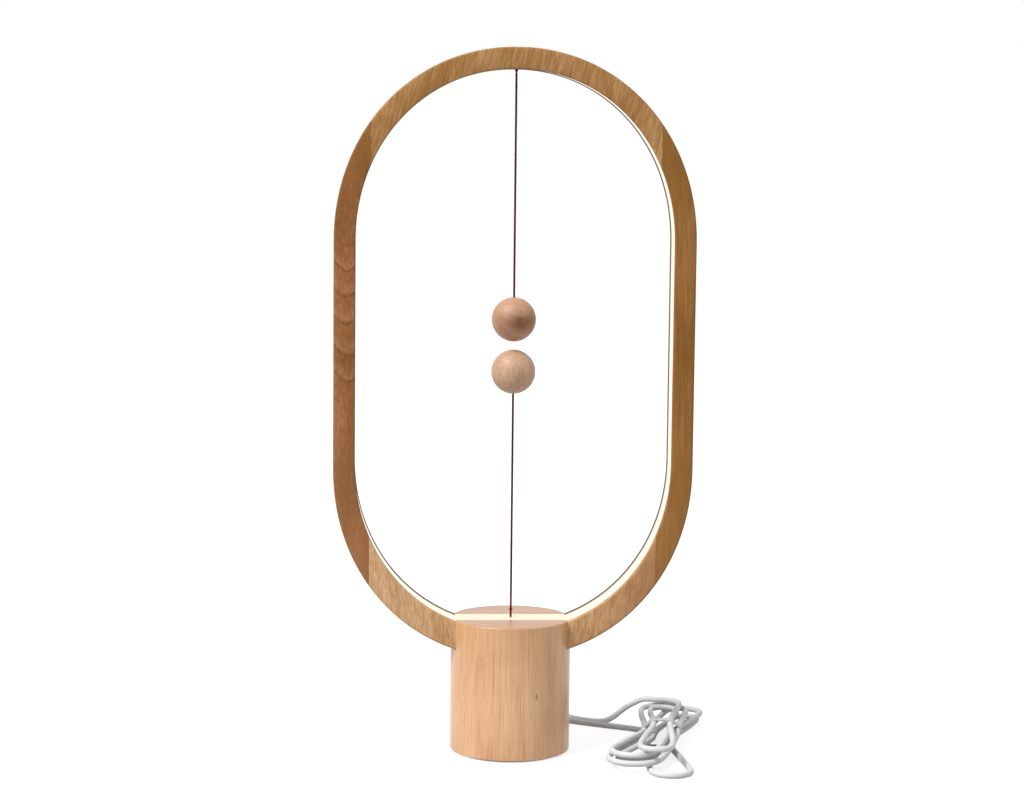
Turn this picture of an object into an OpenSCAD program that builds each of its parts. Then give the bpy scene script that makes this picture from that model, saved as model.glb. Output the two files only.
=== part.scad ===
// Magnetic balance lamp: a beech loop on a turned base, with two balls on cords
// that a pair of magnets pulls together. Lifting the lower ball works the switch.
// X is to the right, Y is away from the front and Z is up. The origin is the
// centre of the foot pad's underside. Lengths are in millimetres.

/* [Loop frame] */
// Outer width of the loop
loop_w = 200; // [185:1:215]
// Height of each end arch, from its widest level to its tip
arch_h = 107; // [102:1:112]
// Height of the straight sides between the arches
side_h = 122; // [110:0.5:135]
// Fullness of the arches' shoulders: 2 is an ellipse, and more is squarer
arch_fullness = 2.06; // [2:0.02:2.16]
// Thickness of the rail, from its outer edge to its inner edge
rail_t = 12; // [11.5:0.25:13.5]
// Depth of the rail, front to back
rail_d = 26; // [25:0.5:30]
// Width of each upright side board
board_w = 20; // [18:0.5:23]
// How far the loop would reach below the base top if its arms didn't thicken
loop_sink = 18; // [16:0.5:19]
// How much thicker the rail is at the loop's foot than at its sides
arm_swell = 3.2; // [0:0.2:5]

/* [Light] */
// Width of the diffusers
diffuser_w = 19.4; // [18:0.2:20.6]
// Thickness of the diffusers
diffuser_t = 1.6; // [1.2:0.1:2]
// How far the loop's diffuser lies below the rail's inner edge
diffuser_recess = 0.5; // [0.3:0.1:0.8]
// How far the base's diffuser lies below the base top
base_recess = 0.2; // [0.1:0.05:0.4]
// Width of the channel that holds the light strips
channel_w = 12; // [11:0.5:13]
// Depth of the channel below the diffusers
channel_h = 3.4; // [3:0.1:3.8]
// Width of the light strips
strip_w = 10; // [8:0.5:10.5]
// Thickness of the light strips
strip_t = 0.5; // [0.3:0.1:0.8]
// Length, width and thickness of a light chip
chip = [3.5, 2.8, 1]; // [0.5:0.1:4]
// Number of chips on each straight side
chips_per_side = 5; // [3:1:6]
// Number of chips on each half of the base's strip
chips_per_half = 2; // [1:1:2]

/* [Base] */
// Diameter of the base
base_d = 67.5; // [66:0.5:74]
// Height of the base top above the table
base_h = 76; // [73:1:85]
// Radius of the base's eased edges
edge_r = 0.75; // [0.5:0.25:2.5]
// Thickness of wood over the base's hollow
top_t = 13; // [12:0.5:15]
// Diameter of the base's hollow
hollow_d = 48; // [47:0.5:50]
// Diameter of the bottom cover
cover_d = 60; // [59:0.5:61]
// Thickness of the bottom cover
cover_t = 3; // [2.8:0.1:4]
// Thickness of the foot pad
pad_t = 1; // [0.8:0.1:2]
// Diameter of the foot pad
pad_d = 62; // [61.5:0.5:63]
// Diameter of the ballast disc
ballast_d = 44; // [42:0.5:46]
// Thickness of the ballast disc
ballast_t = 10; // [6:0.5:11]

/* [Balls and cords] */
// Diameter of both balls
ball_d = 24.6; // [22:0.2:27]
// Gap that the magnets leave between the balls
ball_gap = 4.6; // [3:0.2:8]
// Height of the lower ball's centre above the base top
lower_reach = 138.8; // [125:0.2:150]
// Diameter of the balls' cords
string_d = 1.2; // [0.8:0.1:1.5]
// Diameter of the knot that each ball's cord swings on
knot_d = 1.8; // [1.6:0.1:2]
// Diameter of the magnets
magnet_d = 10; // [8:0.5:11]
// Length of the magnets
magnet_l = 6; // [4:0.5:7]
// Length of the wooden plug over each magnet
plug_l = 3.3; // [3:0.1:4]

/* [Switch] */
// Travel of the switch plunger
travel = 3; // [2:0.1:3.4]
// Diameter of the plunger's stem
stem_d = 3; // [2.6:0.1:3.4]
// Height of the switch housing
housing_h = 18; // [17:0.5:20]
// Width of the switch housing, left to right
housing_w = 20; // [19:0.5:22]
// Depth of the switch housing, front to back
housing_d = 16; // [15:0.5:18]
// Wall of the switch housing
housing_wall = 1.5; // [1:0.1:1.8]

/* [Electronics] */
// Length of the driver board
board_l = 34; // [32:1:35]
// Width of the driver board
board_b = 24; // [22:1:25]
// Height of the posts that carry the driver board
post_h = 22; // [20:1:24]
// Diameter of the inner wires
wire_d = 1.2; // [0.8:0.1:1.6]

/* [Supply cord] */
// Diameter of the supply cord
cord_d = 3.4; // [3:0.1:3.8]
// Height of the cord's exit above the table
exit_h = 19; // [18:0.5:21]
// Length of the strain relief's sleeve
relief_l = 10; // [8:0.5:14]
// Length, width and height of the plug's body
plug_body = [20, 14, 8]; // [7:1:26]
// Length, width and height of the plug's metal shell
plug_shell = [16, 12, 4.5]; // [4:0.5:18]

/* [Hidden] */
$fn = 64;

eps = 0.05;
// Clearance of a cut past the surface that it opens
over = 1;
// Radial clearance of the plunger in its guides
running = 0.03;
// Clearance of pieces that drop into their seats
loose = 0.2;
// Clearance between pieces that swing past each other
swing_gap = 0.3;

// Levels and radii of the loop
arch_steps = 42;
low_arch_z = base_h - loop_sink + arch_h;
high_arch_z = low_arch_z + side_h;
mid_z = (low_arch_z + high_arch_z) / 2;
lamp_h = high_arch_z + arch_h;
joint_x = loop_w / 2 - board_w;
base_r = base_d / 2;
// The arms end where their front edges meet the round base
arm_setback = 0.15;
arm_x = sqrt(pow(base_r, 2) - pow(rail_d / 2, 2)) - arm_setback;

// Insets of the light channel's surfaces from the loop's outer edge
diffuser_face = rail_t - diffuser_recess;
diffuser_back = diffuser_face - diffuser_t;
channel_floor = diffuser_back - channel_h;

// Dowels: diameter, half length, distance from the middle plane and depth in the wood
dowel_d = 4;
dowel_half = 9;
dowel_y = (channel_w + dowel_d) / 2 + 0.5;
dowel_inset = diffuser_back / 2;

// Base levels
base_top = base_h;
hollow_top = base_h - top_t;
cover_top = pad_t + cover_t;
base_diffuser_top = base_top - base_recess;
base_diffuser_z = base_diffuser_top - diffuser_t;
base_channel_z = base_diffuser_z - channel_h;
post_top = cover_top + post_h;
pcb_t = 1.6;
pcb_top = post_top + pcb_t;
post_x = board_l / 2 - 3.5;
post_y = board_b / 2 - 3;
post_d = 5;

// Balls
ball_r = ball_d / 2;
knot_r = knot_d / 2;
lower_ball_z = base_top + lower_reach;
upper_ball_z = lower_ball_z + ball_d + ball_gap;
arch_face_z = high_arch_z + arch_h - diffuser_face;
upper_pivot_z = arch_face_z - swing_gap - knot_r;
lower_pivot_z = base_top + travel + knot_r + 0.4;
peg_d = 4;
peg_seat = 4;
bush_d = 3.6;
bush_bore = string_d + 0.6;

// Switch levels
housing_z = hollow_top - housing_h;
roof_t = 3;
roof_z = hollow_top - roof_t;
boss_h = 2.5;
boss_d = 6;
head_d = 11;
head_t = 2;
head_drop = 10;
head_z = roof_z - head_drop;
bridge_t = 0.4;
bridge_bore = 8.6;
bridge_z = head_z + head_t;
contact_gap = 0.05;
contact_t = 0.5;
contact_w = 2;
contact_x = (head_d + bridge_bore) / 4;
tab_x = housing_w / 2 + 3;
cap_t = 1.5;
flange_ear = 8;
flange_l = housing_d + 2 * flange_ear;
flange_t = 2.5;
flange_screw_y = housing_d / 2 + 4.5;
spring_wire = 0.6;
spring_r = (boss_d + bridge_bore) / 4;
spring_turns = 5;
pull_seat = 4;

// Gland
exit_y = base_r - 0.75;
flange_r = 4.6;
gland_flange_t = 1.5;
neck_r = 3;
relief_y = exit_y + gland_flange_t;
exit_end = relief_y + relief_l;
gland_ring_t = 2.5;

// Free cord: the points that its middle line follows along the table
cord_r = cord_d / 2;
lead_points = [
    [0, exit_end, exit_h], [0, exit_end + 8, exit_h - 1], [2, 62, 13.5], [8, 69, 6.5],
    [18, 71, 2.4], [29, 66, cord_r], [38, 59.5, cord_r], [47, 54, cord_r],
    [56.5, 48.5, cord_r], [66, 43.5, cord_r], [74.5, 38.3, 1.8], [80.6, 31, 2.2]];
end_points = [
    [80, 65.2, 12], [72.5, 63.5, 8.5], [66, 59.5, 4.6], [60, 56.5, 2.2],
    [53.5, 57.2, cord_r], [46, 61.5, cord_r], [39.5, 67.5, cord_r], [35.5, 75.5, 1.8],
    [31.5, 83, 3], [26, 86, 4]];
plug_at = [22, 86];

// Hank: where its waist lies, and the lie of its length
hank_at = [86, 2];
hank_turn = -5;
hank_pitch = cord_d + 0.55;
hank_loops = 1.5;
hank_layers = 4;
// Rings a loop, and the first and last of them
hank_rings = 24;
hank_first = 15;
hank_last = 130;
// The part of a layer in which the cord climbs onto the one below it
hank_climb = 0.3;
// Each layer's reach behind and in front of the waist, and the lean of its ears
hank_back = [62, 62, 50, 50];
hank_front = [58, 46, 46, 50];
back_lean = [17, 17, 4, 4];
front_lean = [6, -24, -24, -6];
// Half widths of an ear at the back, at the front and at the waist
back_half = 7;
front_half = 8.4;
waist_half = 3.6;
// A second loop of a layer lies this many pitches inside the first
hank_spread = 1.7;
// Parts of a loop at which a run ends and an ear begins
run_part = 0.15;
ear_part = 0.2;
// How far from the waist the ears' lean sets in
hank_soft = 12;
// Strap round the waist: its thickness, its width and how far it bites into the cord
tie_t = 1;
tie_w = 5;
tie_bite = 0.3;
// The strap lifts the hank off the table, this far from the waist and less beyond
lift_half = 24;
lift_fade = 16;

// ---------------------------------------------------------------- shapes

// The loop's outline, this far inside its outer edge
function oval(inset) = concat(
    [for (i = [0:arch_steps]) oval_point(inset, i, 1)],
    [for (i = [0:arch_steps]) oval_point(inset, i, -1)]);
function oval_point(inset, i, side) =
    let (a = 180 * i / arch_steps)
    [side * (loop_w / 2 - inset) * full(cos(a)),
     (side > 0 ? high_arch_z : low_arch_z) + side * (arch_h - inset) * full(sin(a))];
// A sine or cosine, fuller than a circle's
function full(c) = sign(c) * pow(abs(c), 2 / arch_fullness);
// Height of the outline above or below its arch's widest level, at this x
function oval_rise(inset, x) =
    (arch_h - inset) * pow(1 - pow(x / (loop_w / 2 - inset), arch_fullness), 1 / arch_fullness);
// Angle of the outline's tangent to the level, at this x
function oval_slope(inset, x) =
    let (a = loop_w / 2 - inset, e = arch_fullness)
    atan((arch_h - inset) / a * pow(x / a, e - 1) / pow(1 - pow(x / a, e), 1 - 1 / e));
// The outer edge, whose lower arch hangs lower than the inner edge's
outer_edge = [for (p = oval(0)) p[1] < mid_z ? p - [0, arm_swell] : p];

module ring_2d(outer, inner) {
    difference() {
        polygon(outer);
        polygon(oval(inner));
    }
}

// Stands a flat shape up in the loop's plane with this depth front to back
module upright(depth) {
    rotate([90, 0, 0])
        linear_extrude(depth, center = true)
            children();
}

module box(low, high) {
    translate(low)
        cube(high - low);
}

// A block between two x and two z levels, deep enough for any rail
module slab(x0, x1, z0, z1) {
    box([x0, -rail_d, z0], [x1, rail_d, z1]);
}

module along_y(r, y0, y1, z = 0) {
    translate([0, y0, z])
        rotate([-90, 0, 0])
            cylinder(r = r, h = y1 - y0);
}

module ring(outer_r, inner_r, h) {
    difference() {
        cylinder(r = outer_r, h = h);
        translate([0, 0, -over])
            cylinder(r = inner_r, h = h + 2 * over);
    }
}

// A smooth line through hand-placed points: each stretch is a cubic between two of them
function spot(p, i) = p[min(max(i, 0), len(p) - 1)];
function between(a, b, c, d, t) =
    0.5 * (2 * b + (c - a) * t + (2 * a - 5 * b + 4 * c - d) * t * t
        + (3 * b - a - 3 * c + d) * t * t * t);
function smooth(p, steps) = concat(
    [for (i = [0:len(p) - 2]) for (k = [0:steps - 1])
        between(spot(p, i - 1), p[i], p[i + 1], spot(p, i + 2), k / steps)],
    [p[len(p) - 1]]);

// A tube of this radius along a line of points
function unit(v) = v / norm(v);
function way(line, i) = unit(spot(line, i + 1) - spot(line, i - 1));
// Each ring's first direction is the last ring's, turned with the line
function frames(line, i, last) =
    let (t = way(line, i), n = unit(last - (last * t) * t))
    i == len(line) - 1 ? [n] : concat([n], frames(line, i + 1, n));
module tube(line, r, sides, start_up = [0, 0, 1]) {
    normals = frames(line, 0, start_up);
    rings = len(line);
    points = [for (i = [0:rings - 1]) for (k = [0:sides - 1])
        let (t = way(line, i), n = normals[i], b = cross(t, n), a = 360 * (k + 0.5) / sides)
        line[i] + r * (cos(a) * n + sin(a) * b)];
    walls = [for (i = [0:rings - 2]) for (k = [0:sides - 1])
        let (a = i * sides + k, b = i * sides + (k + 1) % sides)
        each [[a, a + sides, b], [b, a + sides, b + sides]]];
    ends = [[for (k = [0:sides - 1]) k],
        [for (k = [sides - 1:-1:0]) (rings - 1) * sides + k]];
    polyhedron(points, concat(walls, ends), convexity = 10);
}

// A step that starts and ends gently
function clamp(x) = min(max(x, 0), 1);
function ease(x) = let (c = clamp(x)) c * c * (3 - 2 * c);

// The hank's middle line after t loops. A strand runs through the waist, round the
// back ear, through the waist again and round the front ear.
function hank(t) =
    let (layer = min(floor(t / hank_loops), hank_layers - 1), in_layer = t - hank_loops * layer,
        climb = layer > 0 ? hank_climb : 0, climbing = layer > 0 && in_layer < climb,
        done = clamp((in_layer - climb) / (hank_loops - climb)),
        inset = hank_pitch * hank_spread * (layer % 2 == 0 ? 1 - done : done),
        level = climbing ? layer - 1 + ease(in_layer / climb / 0.55) : layer,
        k = climbing && in_layer < climb / 2 ? layer - 1 : layer)
    hank_spot(t - floor(t), inset, level, k);
function hank_spot(p, inset, level, k) =
    let (run = run_part, turn = 2 * run_part, far = turn + ear_part, back = far + run_part,
        behind = p >= run && p < back,
        reach = behind ? hank_back[k] : hank_front[k],
        half = behind ? back_half : front_half,
        lean = tan(behind ? back_lean[k] : front_lean[k]),
        v = p < run ? -reach * (1 - p / run)
            : p < turn ? reach * (p - run) / run
            : p < far ? reach
            : p < back ? reach * (1 - (p - far) / run)
            : p < back + run ? -reach * (p - back) / run
            : -reach,
        soft = norm([v, hank_soft]),
        along = unit([v / soft * lean, 1]), across = [along[1], -along[0]],
        middle = [(soft - hank_soft) * lean, v],
        at_back = p >= turn && p < far, at_front = p >= back + run,
        a = 180 * (p - (at_back ? turn : back + run)) / ear_part,
        r = half + inset,
        strand = inset + waist_half + (half - waist_half) * pow(sin(90 * abs(v) / reach), 2),
        uv = at_back ? middle + r * (cos(a) * across + sin(a) * along)
            : at_front ? middle - r * (cos(a) * across + sin(a) * along)
            : middle + (p < turn ? 1 : -1) * strand * across)
    [hank_at[0] + uv[0] * cos(hank_turn) - uv[1] * sin(hank_turn),
     hank_at[1] + uv[0] * sin(hank_turn) + uv[1] * cos(hank_turn),
     cord_r + hank_pitch * level + (tie_t - tie_bite) * (1 - ease((abs(v) - lift_half) / lift_fade))];

// The hank's rings, with a straight cord's diameter at each end
hank_line = hank_with_ends([for (i = [hank_first:hank_last]) hank(i / hank_rings)]);
function hank_with_ends(line) =
    let (n = len(line) - 1, a = unit(line[0] - line[1]), b = unit(line[n] - line[n - 1]))
    concat([line[0] + cord_d * a], line, [line[n] + cord_d * b]);

// Least distance from a point to a stretch of a line
function to_stretch(p, a, b) =
    let (d = b - a, t = clamp((p - a) * d / (d * d)))
    norm(p - a - t * d);
// Least gap between strands of one cord that are more than this many rings apart
function least_gap(line, d, apart) =
    min([for (i = [0:len(line) - 1 - apart]) for (j = [i + apart:len(line) - 2])
        for (k = [0:2])
            to_stretch(line[i] + (line[i + 1] - line[i]) * k / 3, line[j], line[j + 1])]) - d;

// ---------------------------------------------------------------- loop

// Dowels across the four joints between the loop's boards
module board_dowel_pins(r) {
    rise = oval_rise(dowel_inset, joint_x);
    slope = oval_slope(dowel_inset, joint_x);
    for (sx = [-1, 1], sz = [-1, 1], sy = [-1, 1])
        translate([sx * joint_x, sy * dowel_y, (sz > 0 ? high_arch_z : low_arch_z) + sz * rise])
            rotate([0, 90 + sx * sz * slope, 0])
                cylinder(r = r, h = 2 * dowel_half, center = true);
}

// Dowels that join the arms to the base
module arm_dowel_pins(r) {
    rise = oval_rise(dowel_inset, arm_x);
    slope = oval_slope(dowel_inset, arm_x);
    for (sx = [-1, 1], sy = [-1, 1])
        translate([sx * arm_x, sy * dowel_y, low_arch_z - rise])
            rotate([0, 90 - sx * slope, 0])
                cylinder(r = r, h = 2 * dowel_half, center = true);
}

// The whole loop before it is cut into boards
module rail() {
    difference() {
        upright(rail_d)
            ring_2d(outer_edge, rail_t);
        upright(diffuser_w)
            ring_2d(oval(diffuser_back), rail_t + over);
        upright(channel_w)
            ring_2d(oval(channel_floor), rail_t + over);
        translate([0, 0, arch_face_z])
            cylinder(d = peg_d, h = peg_l());
        board_dowel_pins(dowel_d / 2);
        arm_dowel_pins(dowel_d / 2);
    }
}
function peg_l() = diffuser_t + channel_h + peg_seat;

module frame_top() {
    color("peru")
        intersection() {
            rail();
            slab(-joint_x, joint_x, mid_z, lamp_h + over);
        }
}

module frame_side(side) {
    intersection() {
        rail();
        slab(min(side * joint_x, side * loop_w), max(side * joint_x, side * loop_w),
            0, lamp_h + over);
    }
}

module frame_left() {
    color("sienna")
        frame_side(-1);
}

module frame_right() {
    color("peru")
        frame_side(1);
}

module arm(side) {
    intersection() {
        rail();
        slab(min(side * arm_x, side * joint_x), max(side * arm_x, side * joint_x), 0, mid_z);
    }
}

module arm_left() {
    color("tan")
        arm(-1);
}

module arm_right() {
    color("tan")
        arm(1);
}

module board_dowels() {
    color("burlywood")
        board_dowel_pins(dowel_d / 2);
}

module arm_dowels() {
    color("burlywood")
        arm_dowel_pins(dowel_d / 2);
}

// ---------------------------------------------------------------- light

// What follows the loop stops where the base's own strip begins
module loop_only() {
    difference() {
        children();
        slab(-arm_x, arm_x, 0, mid_z);
    }
}

module peg_hole() {
    translate([0, 0, arch_face_z - over])
        cylinder(d = peg_d + 2 * loose, h = peg_l() + over);
}

module diffuser_loop() {
    color("ivory")
        difference() {
            loop_only()
                upright(diffuser_w)
                    ring_2d(oval(diffuser_back), diffuser_face);
            peg_hole();
        }
}

module led_strip_loop() {
    color("white")
        difference() {
            loop_only()
                upright(strip_w)
                    ring_2d(oval(channel_floor), channel_floor + strip_t);
            peg_hole();
        }
}

// A chip whose underside lies on the strip, halfway between two of its points
module chip_between(a, b) {
    mid = (a + b) / 2;
    translate([mid[0], 0, mid[1]])
        rotate([0, -atan2(b[1] - a[1], b[0] - a[0]), 0])
            translate([-chip[0] / 2, -chip[1] / 2, 0])
                cube(chip);
}

module leds_loop() {
    face = channel_floor + strip_t;
    chip_every = 3;
    color("gold") {
        for (side = [1, -1], i = [1:chip_every:arch_steps - 1]) {
            a = oval_point(face, i, side);
            b = oval_point(face, i + 1, side);
            if (side > 0 || abs((a + b)[0]) / 2 > arm_x + chip[0])
                chip_between(a, b);
        }
        for (side = [-1, 1], i = [1:chips_per_side]) {
            x = side * (loop_w / 2 - face);
            z = low_arch_z + side_h * i / (chips_per_side + 1);
            chip_between([x, z - side], [x, z + side]);
        }
    }
}

module diffuser_base() {
    color("ivory")
        difference() {
            box([-arm_x, -diffuser_w / 2, base_diffuser_z],
                [arm_x, diffuser_w / 2, base_diffuser_top]);
            bush_hole();
        }
}

module bush_hole() {
    translate([0, 0, base_channel_z - over])
        cylinder(d = bush_d + 2 * loose, h = base_top - base_channel_z + 2 * over);
}

module led_strip_base() {
    color("white")
        difference() {
            box([-arm_x, -strip_w / 2, base_channel_z],
                [arm_x, strip_w / 2, base_channel_z + strip_t]);
            bush_hole();
        }
}

module leds_base() {
    pitch = arm_x / (chips_per_half + 1);
    color("gold")
        for (side = [-1, 1], i = [1:chips_per_half])
            chip_on_base(side * pitch * i);
}

module chip_on_base(x) {
    translate([x - chip[0] / 2, -chip[1] / 2, base_channel_z + strip_t])
        cube(chip);
}

// Two wires from the base's strip down to the driver board
wire_x = 14.5;
wire_y = 3;
module led_wires() {
    color("firebrick")
        for (side = [-1, 1])
            translate([wire_x, side * wire_y, pcb_top])
                cylinder(d = wire_d, h = base_channel_z - pcb_top);
}

// ---------------------------------------------------------------- base

module base_profile() {
    h = base_top - pad_t;
    square([base_r - edge_r, h]);
    translate([0, edge_r])
        square([base_r, h - 2 * edge_r]);
    translate([base_r - edge_r, edge_r])
        circle(edge_r);
    translate([base_r - edge_r, h - edge_r])
        circle(edge_r);
}

module base_body() {
    color("burlywood")
        difference() {
            translate([0, 0, pad_t])
                rotate_extrude()
                    base_profile();
            // Hollow, and the rebate that the cover drops into
            translate([0, 0, pad_t - over])
                cylinder(d = hollow_d, h = hollow_top - pad_t + over);
            translate([0, 0, pad_t - over])
                cylinder(d = cover_d + 2 * loose, h = cover_t + over);
            // Seats of the two arms
            for (side = [-1, 1])
                intersection() {
                    upright(rail_d)
                        polygon(outer_edge);
                    slab(min(side * arm_x, side * loop_w), max(side * arm_x, side * loop_w),
                        0, mid_z);
                }
            arm_dowel_pins(dowel_d / 2);
            // Channel for the base's strip and diffuser
            box([-arm_x - over, -diffuser_w / 2, base_diffuser_z],
                [arm_x + over, diffuser_w / 2, base_top + over]);
            box([-arm_x - over, -channel_w / 2, base_channel_z],
                [arm_x + over, channel_w / 2, base_top + over]);
            // Bores of the bush, the wires and the switch's screws
            translate([0, 0, hollow_top - over])
                cylinder(d = bush_d, h = top_t);
            for (side = [-1, 1])
                translate([wire_x, side * wire_y, hollow_top - over])
                    cylinder(d = wire_d + 2 * loose, h = top_t);
            switch_screw_shanks();
            cover_screw_shanks();
            // Bore of the gland and the seat of its flange
            along_y(neck_r, 0, base_r + over, exit_h);
            along_y(flange_r + loose, exit_y, base_r + over, exit_h);
        }
}

module foot_pad() {
    color("dimgray")
        cylinder(d = pad_d, h = pad_t);
}

// Cover screws
cover_screw_r = (hollow_d + cover_d) / 4;
cover_screw_d = 2.5;
cover_screw_l = 10;
cover_head_d = 5;
cover_head_t = 1.8;
module at_cover_screws() {
    for (i = [0:2])
        rotate([0, 0, 30 + 120 * i])
            translate([cover_screw_r, 0, pad_t])
                children();
}

module cover_screw_shanks() {
    at_cover_screws()
        cylinder(d = cover_screw_d, h = cover_head_t + cover_screw_l);
}

module cover_screws() {
    color("silver") {
        cover_screw_shanks();
        at_cover_screws()
            cylinder(d = cover_head_d, h = cover_head_t);
    }
}

module at_posts() {
    for (x = [-post_x, post_x], y = [-post_y, post_y])
        translate([x, y, 0])
            children();
}

board_screw_d = 2;
board_screw_l = 6;
ballast_screw_d = 4;
ballast_head_d = 7;
ballast_head_t = 2;

module bottom_cover() {
    color("dimgray")
        difference() {
            union() {
                translate([0, 0, pad_t])
                    cylinder(d = cover_d, h = cover_t);
                at_posts()
                    translate([0, 0, cover_top - eps])
                        cylinder(d = post_d, h = post_h + eps);
            }
            cover_screw_shanks();
            at_cover_screws()
                translate([0, 0, -over])
                    cylinder(d = cover_head_d, h = cover_head_t + over);
            at_posts()
                translate([0, 0, post_top - board_screw_l])
                    cylinder(d = board_screw_d, h = board_screw_l + over);
            translate([0, 0, pad_t - over])
                cylinder(d = ballast_screw_d, h = cover_t + 2 * over);
            translate([0, 0, pad_t - over])
                cylinder(d = ballast_head_d, h = ballast_head_t + over);
        }
}

module ballast() {
    color("slategray")
        difference() {
            translate([0, 0, cover_top])
                cylinder(d = ballast_d, h = ballast_t);
            at_posts()
                translate([0, 0, cover_top - over])
                    cylinder(d = post_d + 4 * loose, h = ballast_t + 2 * over);
            translate([0, 0, cover_top - over])
                cylinder(d = ballast_screw_d, h = ballast_t + 2 * over);
        }
}

module ballast_screw() {
    color("silver") {
        translate([0, 0, pad_t])
            cylinder(d = ballast_head_d, h = ballast_head_t);
        translate([0, 0, pad_t])
            cylinder(d = ballast_screw_d, h = cover_t + ballast_t);
    }
}

// ---------------------------------------------------------------- electronics

module driver_board() {
    color("darkgreen")
        difference() {
            box([-board_l / 2, -board_b / 2, post_top], [board_l / 2, board_b / 2, pcb_top]);
            at_posts()
                translate([0, 0, post_top - over])
                    cylinder(d = board_screw_d, h = pcb_t + 2 * over);
        }
}

module board_screws() {
    head_r = 1.9;
    color("silver")
        at_posts() {
            translate([0, 0, post_top - board_screw_l])
                cylinder(d = board_screw_d, h = board_screw_l + pcb_t);
            translate([0, 0, pcb_top])
                cylinder(r = head_r, h = 1.4);
        }
}

// Terminal block, choke, capacitor and two chips on the driver board
// The driver's parts and where they stand on its board
terminal = [8, 6, 5];
choke_at = [-7, -2];
choke_outer_r = 3.6;
choke_inner_r = 1.6;
choke_h = 4;
capacitor_at = [6, -5];
capacitor_d = 5;
capacitor_h = 7;
driver_at = [-4, -10];
driver_chip = [5, 4, 1.5];
guard_at = [2, 1];
guard_chip = [4, 3, 1.2];
module driver_parts() {
    color("black")
        translate([0, 0, pcb_top]) {
            translate([-terminal[0] / 2, board_b / 2 - terminal[1]])
                cube(terminal);
            translate(choke_at)
                ring(choke_outer_r, choke_inner_r, choke_h);
            translate(capacitor_at)
                cylinder(d = capacitor_d, h = capacitor_h);
            translate(driver_at)
                cube(driver_chip);
            translate(guard_at)
                cube(guard_chip);
        }
}

// ---------------------------------------------------------------- switch

module at_switch_screws() {
    for (side = [-1, 1])
        translate([0, side * flange_screw_y, hollow_top])
            children();
}

switch_screw_d = 2.2;
switch_screw_in = 5;
module switch_screw_shanks() {
    at_switch_screws()
        translate([0, 0, -flange_t - eps])
            cylinder(d = switch_screw_d, h = flange_t + switch_screw_in + eps);
}

module switch_screws() {
    head_r = 2.1;
    head_h = 1.6;
    color("silver") {
        switch_screw_shanks();
        at_switch_screws()
            translate([0, 0, -flange_t - head_h])
                cylinder(r = head_r, h = head_h);
    }
}

module switch_room(shrink, z0, z1) {
    w = housing_w / 2 - housing_wall - shrink;
    d = housing_d / 2 - housing_wall - shrink;
    box([-w, -d, z0], [w, d, z1]);
}

module switch_housing() {
    color("whitesmoke")
        difference() {
            union() {
                difference() {
                    box([-housing_w / 2, -housing_d / 2, housing_z],
                        [housing_w / 2, housing_d / 2, hollow_top]);
                    switch_room(0, housing_z - over, roof_z);
                }
                box([-housing_w / 2 + over, -flange_l / 2, hollow_top - flange_t],
                    [housing_w / 2 - over, flange_l / 2, hollow_top]);
                translate([0, 0, roof_z - boss_h])
                    cylinder(d = boss_d, h = boss_h + eps);
            }
            translate([0, 0, roof_z - boss_h - over])
                cylinder(d = stem_d + 2 * running, h = roof_t + boss_h + 2 * over);
            switch_screw_shanks();
            for (side = [-1, 1])
                contact_leg(side);
        }
}

// The level leg of a fixed contact, which runs out through the housing's wall
module contact_leg(side) {
    inner = contact_x - contact_t / 2;
    box([side > 0 ? inner : -tab_x, -contact_w / 2, roof_z - contact_t],
        [side > 0 ? tab_x : -inner, contact_w / 2, roof_z]);
}

module switch_contacts() {
    color("darkgoldenrod")
        for (side = [-1, 1]) {
            contact_leg(side);
            translate([side * contact_x, 0, 0])
                box([-contact_t / 2, -contact_w / 2, bridge_z + bridge_t + contact_gap],
                    [contact_t / 2, contact_w / 2, roof_z - contact_t + eps]);
        }
}

module switch_cap() {
    color("whitesmoke")
        difference() {
            union() {
                box([-housing_w / 2, -housing_d / 2, housing_z - cap_t],
                    [housing_w / 2, housing_d / 2, housing_z]);
                switch_room(eps, housing_z - eps, housing_z + cap_t);
            }
            translate([0, 0, housing_z - cap_t - over])
                cylinder(d = stem_d + 2 * running, h = 2 * cap_t + 2 * over);
        }
}

stem_low = housing_z - cap_t - 1.5;
stem_high = hollow_top - swing_gap;
module switch_plunger() {
    color("royalblue")
        difference() {
            union() {
                translate([0, 0, stem_low])
                    cylinder(d = stem_d, h = stem_high - stem_low);
                translate([0, 0, head_z])
                    cylinder(d = head_d, h = head_t);
            }
            translate([0, 0, stem_high - pull_seat])
                cylinder(d = string_d, h = pull_seat + over);
        }
}

module contact_bridge() {
    color("goldenrod")
        translate([0, 0, bridge_z])
            ring(head_d / 2, bridge_bore / 2, bridge_t);
}

module switch_spring() {
    rings = 16;
    low = bridge_z + spring_wire / 2 + eps;
    high = roof_z - spring_wire / 2 - eps;
    count = spring_turns * rings;
    line = [for (i = [0:count])
        let (a = 360 * i / rings)
        [spring_r * cos(a), spring_r * sin(a), low + (high - low) * i / count]];
    color("silver")
        tube(line, spring_wire / 2, 6);
}

// Wires from the contacts' tabs down to the driver board
module switch_wires() {
    color("black")
        for (side = [-1, 1])
            translate([side * (tab_x - wire_d / 2), 0, pcb_top])
                cylinder(d = wire_d, h = roof_z - contact_t - pcb_top);
}

// ---------------------------------------------------------------- balls and cords

// A ball about its own centre: facing 1 has its magnet above and its cord below
pocket_deep = 3;
magnet_pole = ball_r - plug_l;
module turned(facing) {
    rotate([facing > 0 ? 0 : 180, 0, 0])
        children();
}

module ball(facing) {
    turned(facing)
        difference() {
            sphere(ball_r);
            translate([0, 0, magnet_pole - magnet_l - pocket_deep])
                cylinder(d = magnet_d, h = ball_d);
            translate([0, 0, -ball_r - over])
                cylinder(d = string_d + loose, h = ball_r + over);
        }
}

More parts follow.
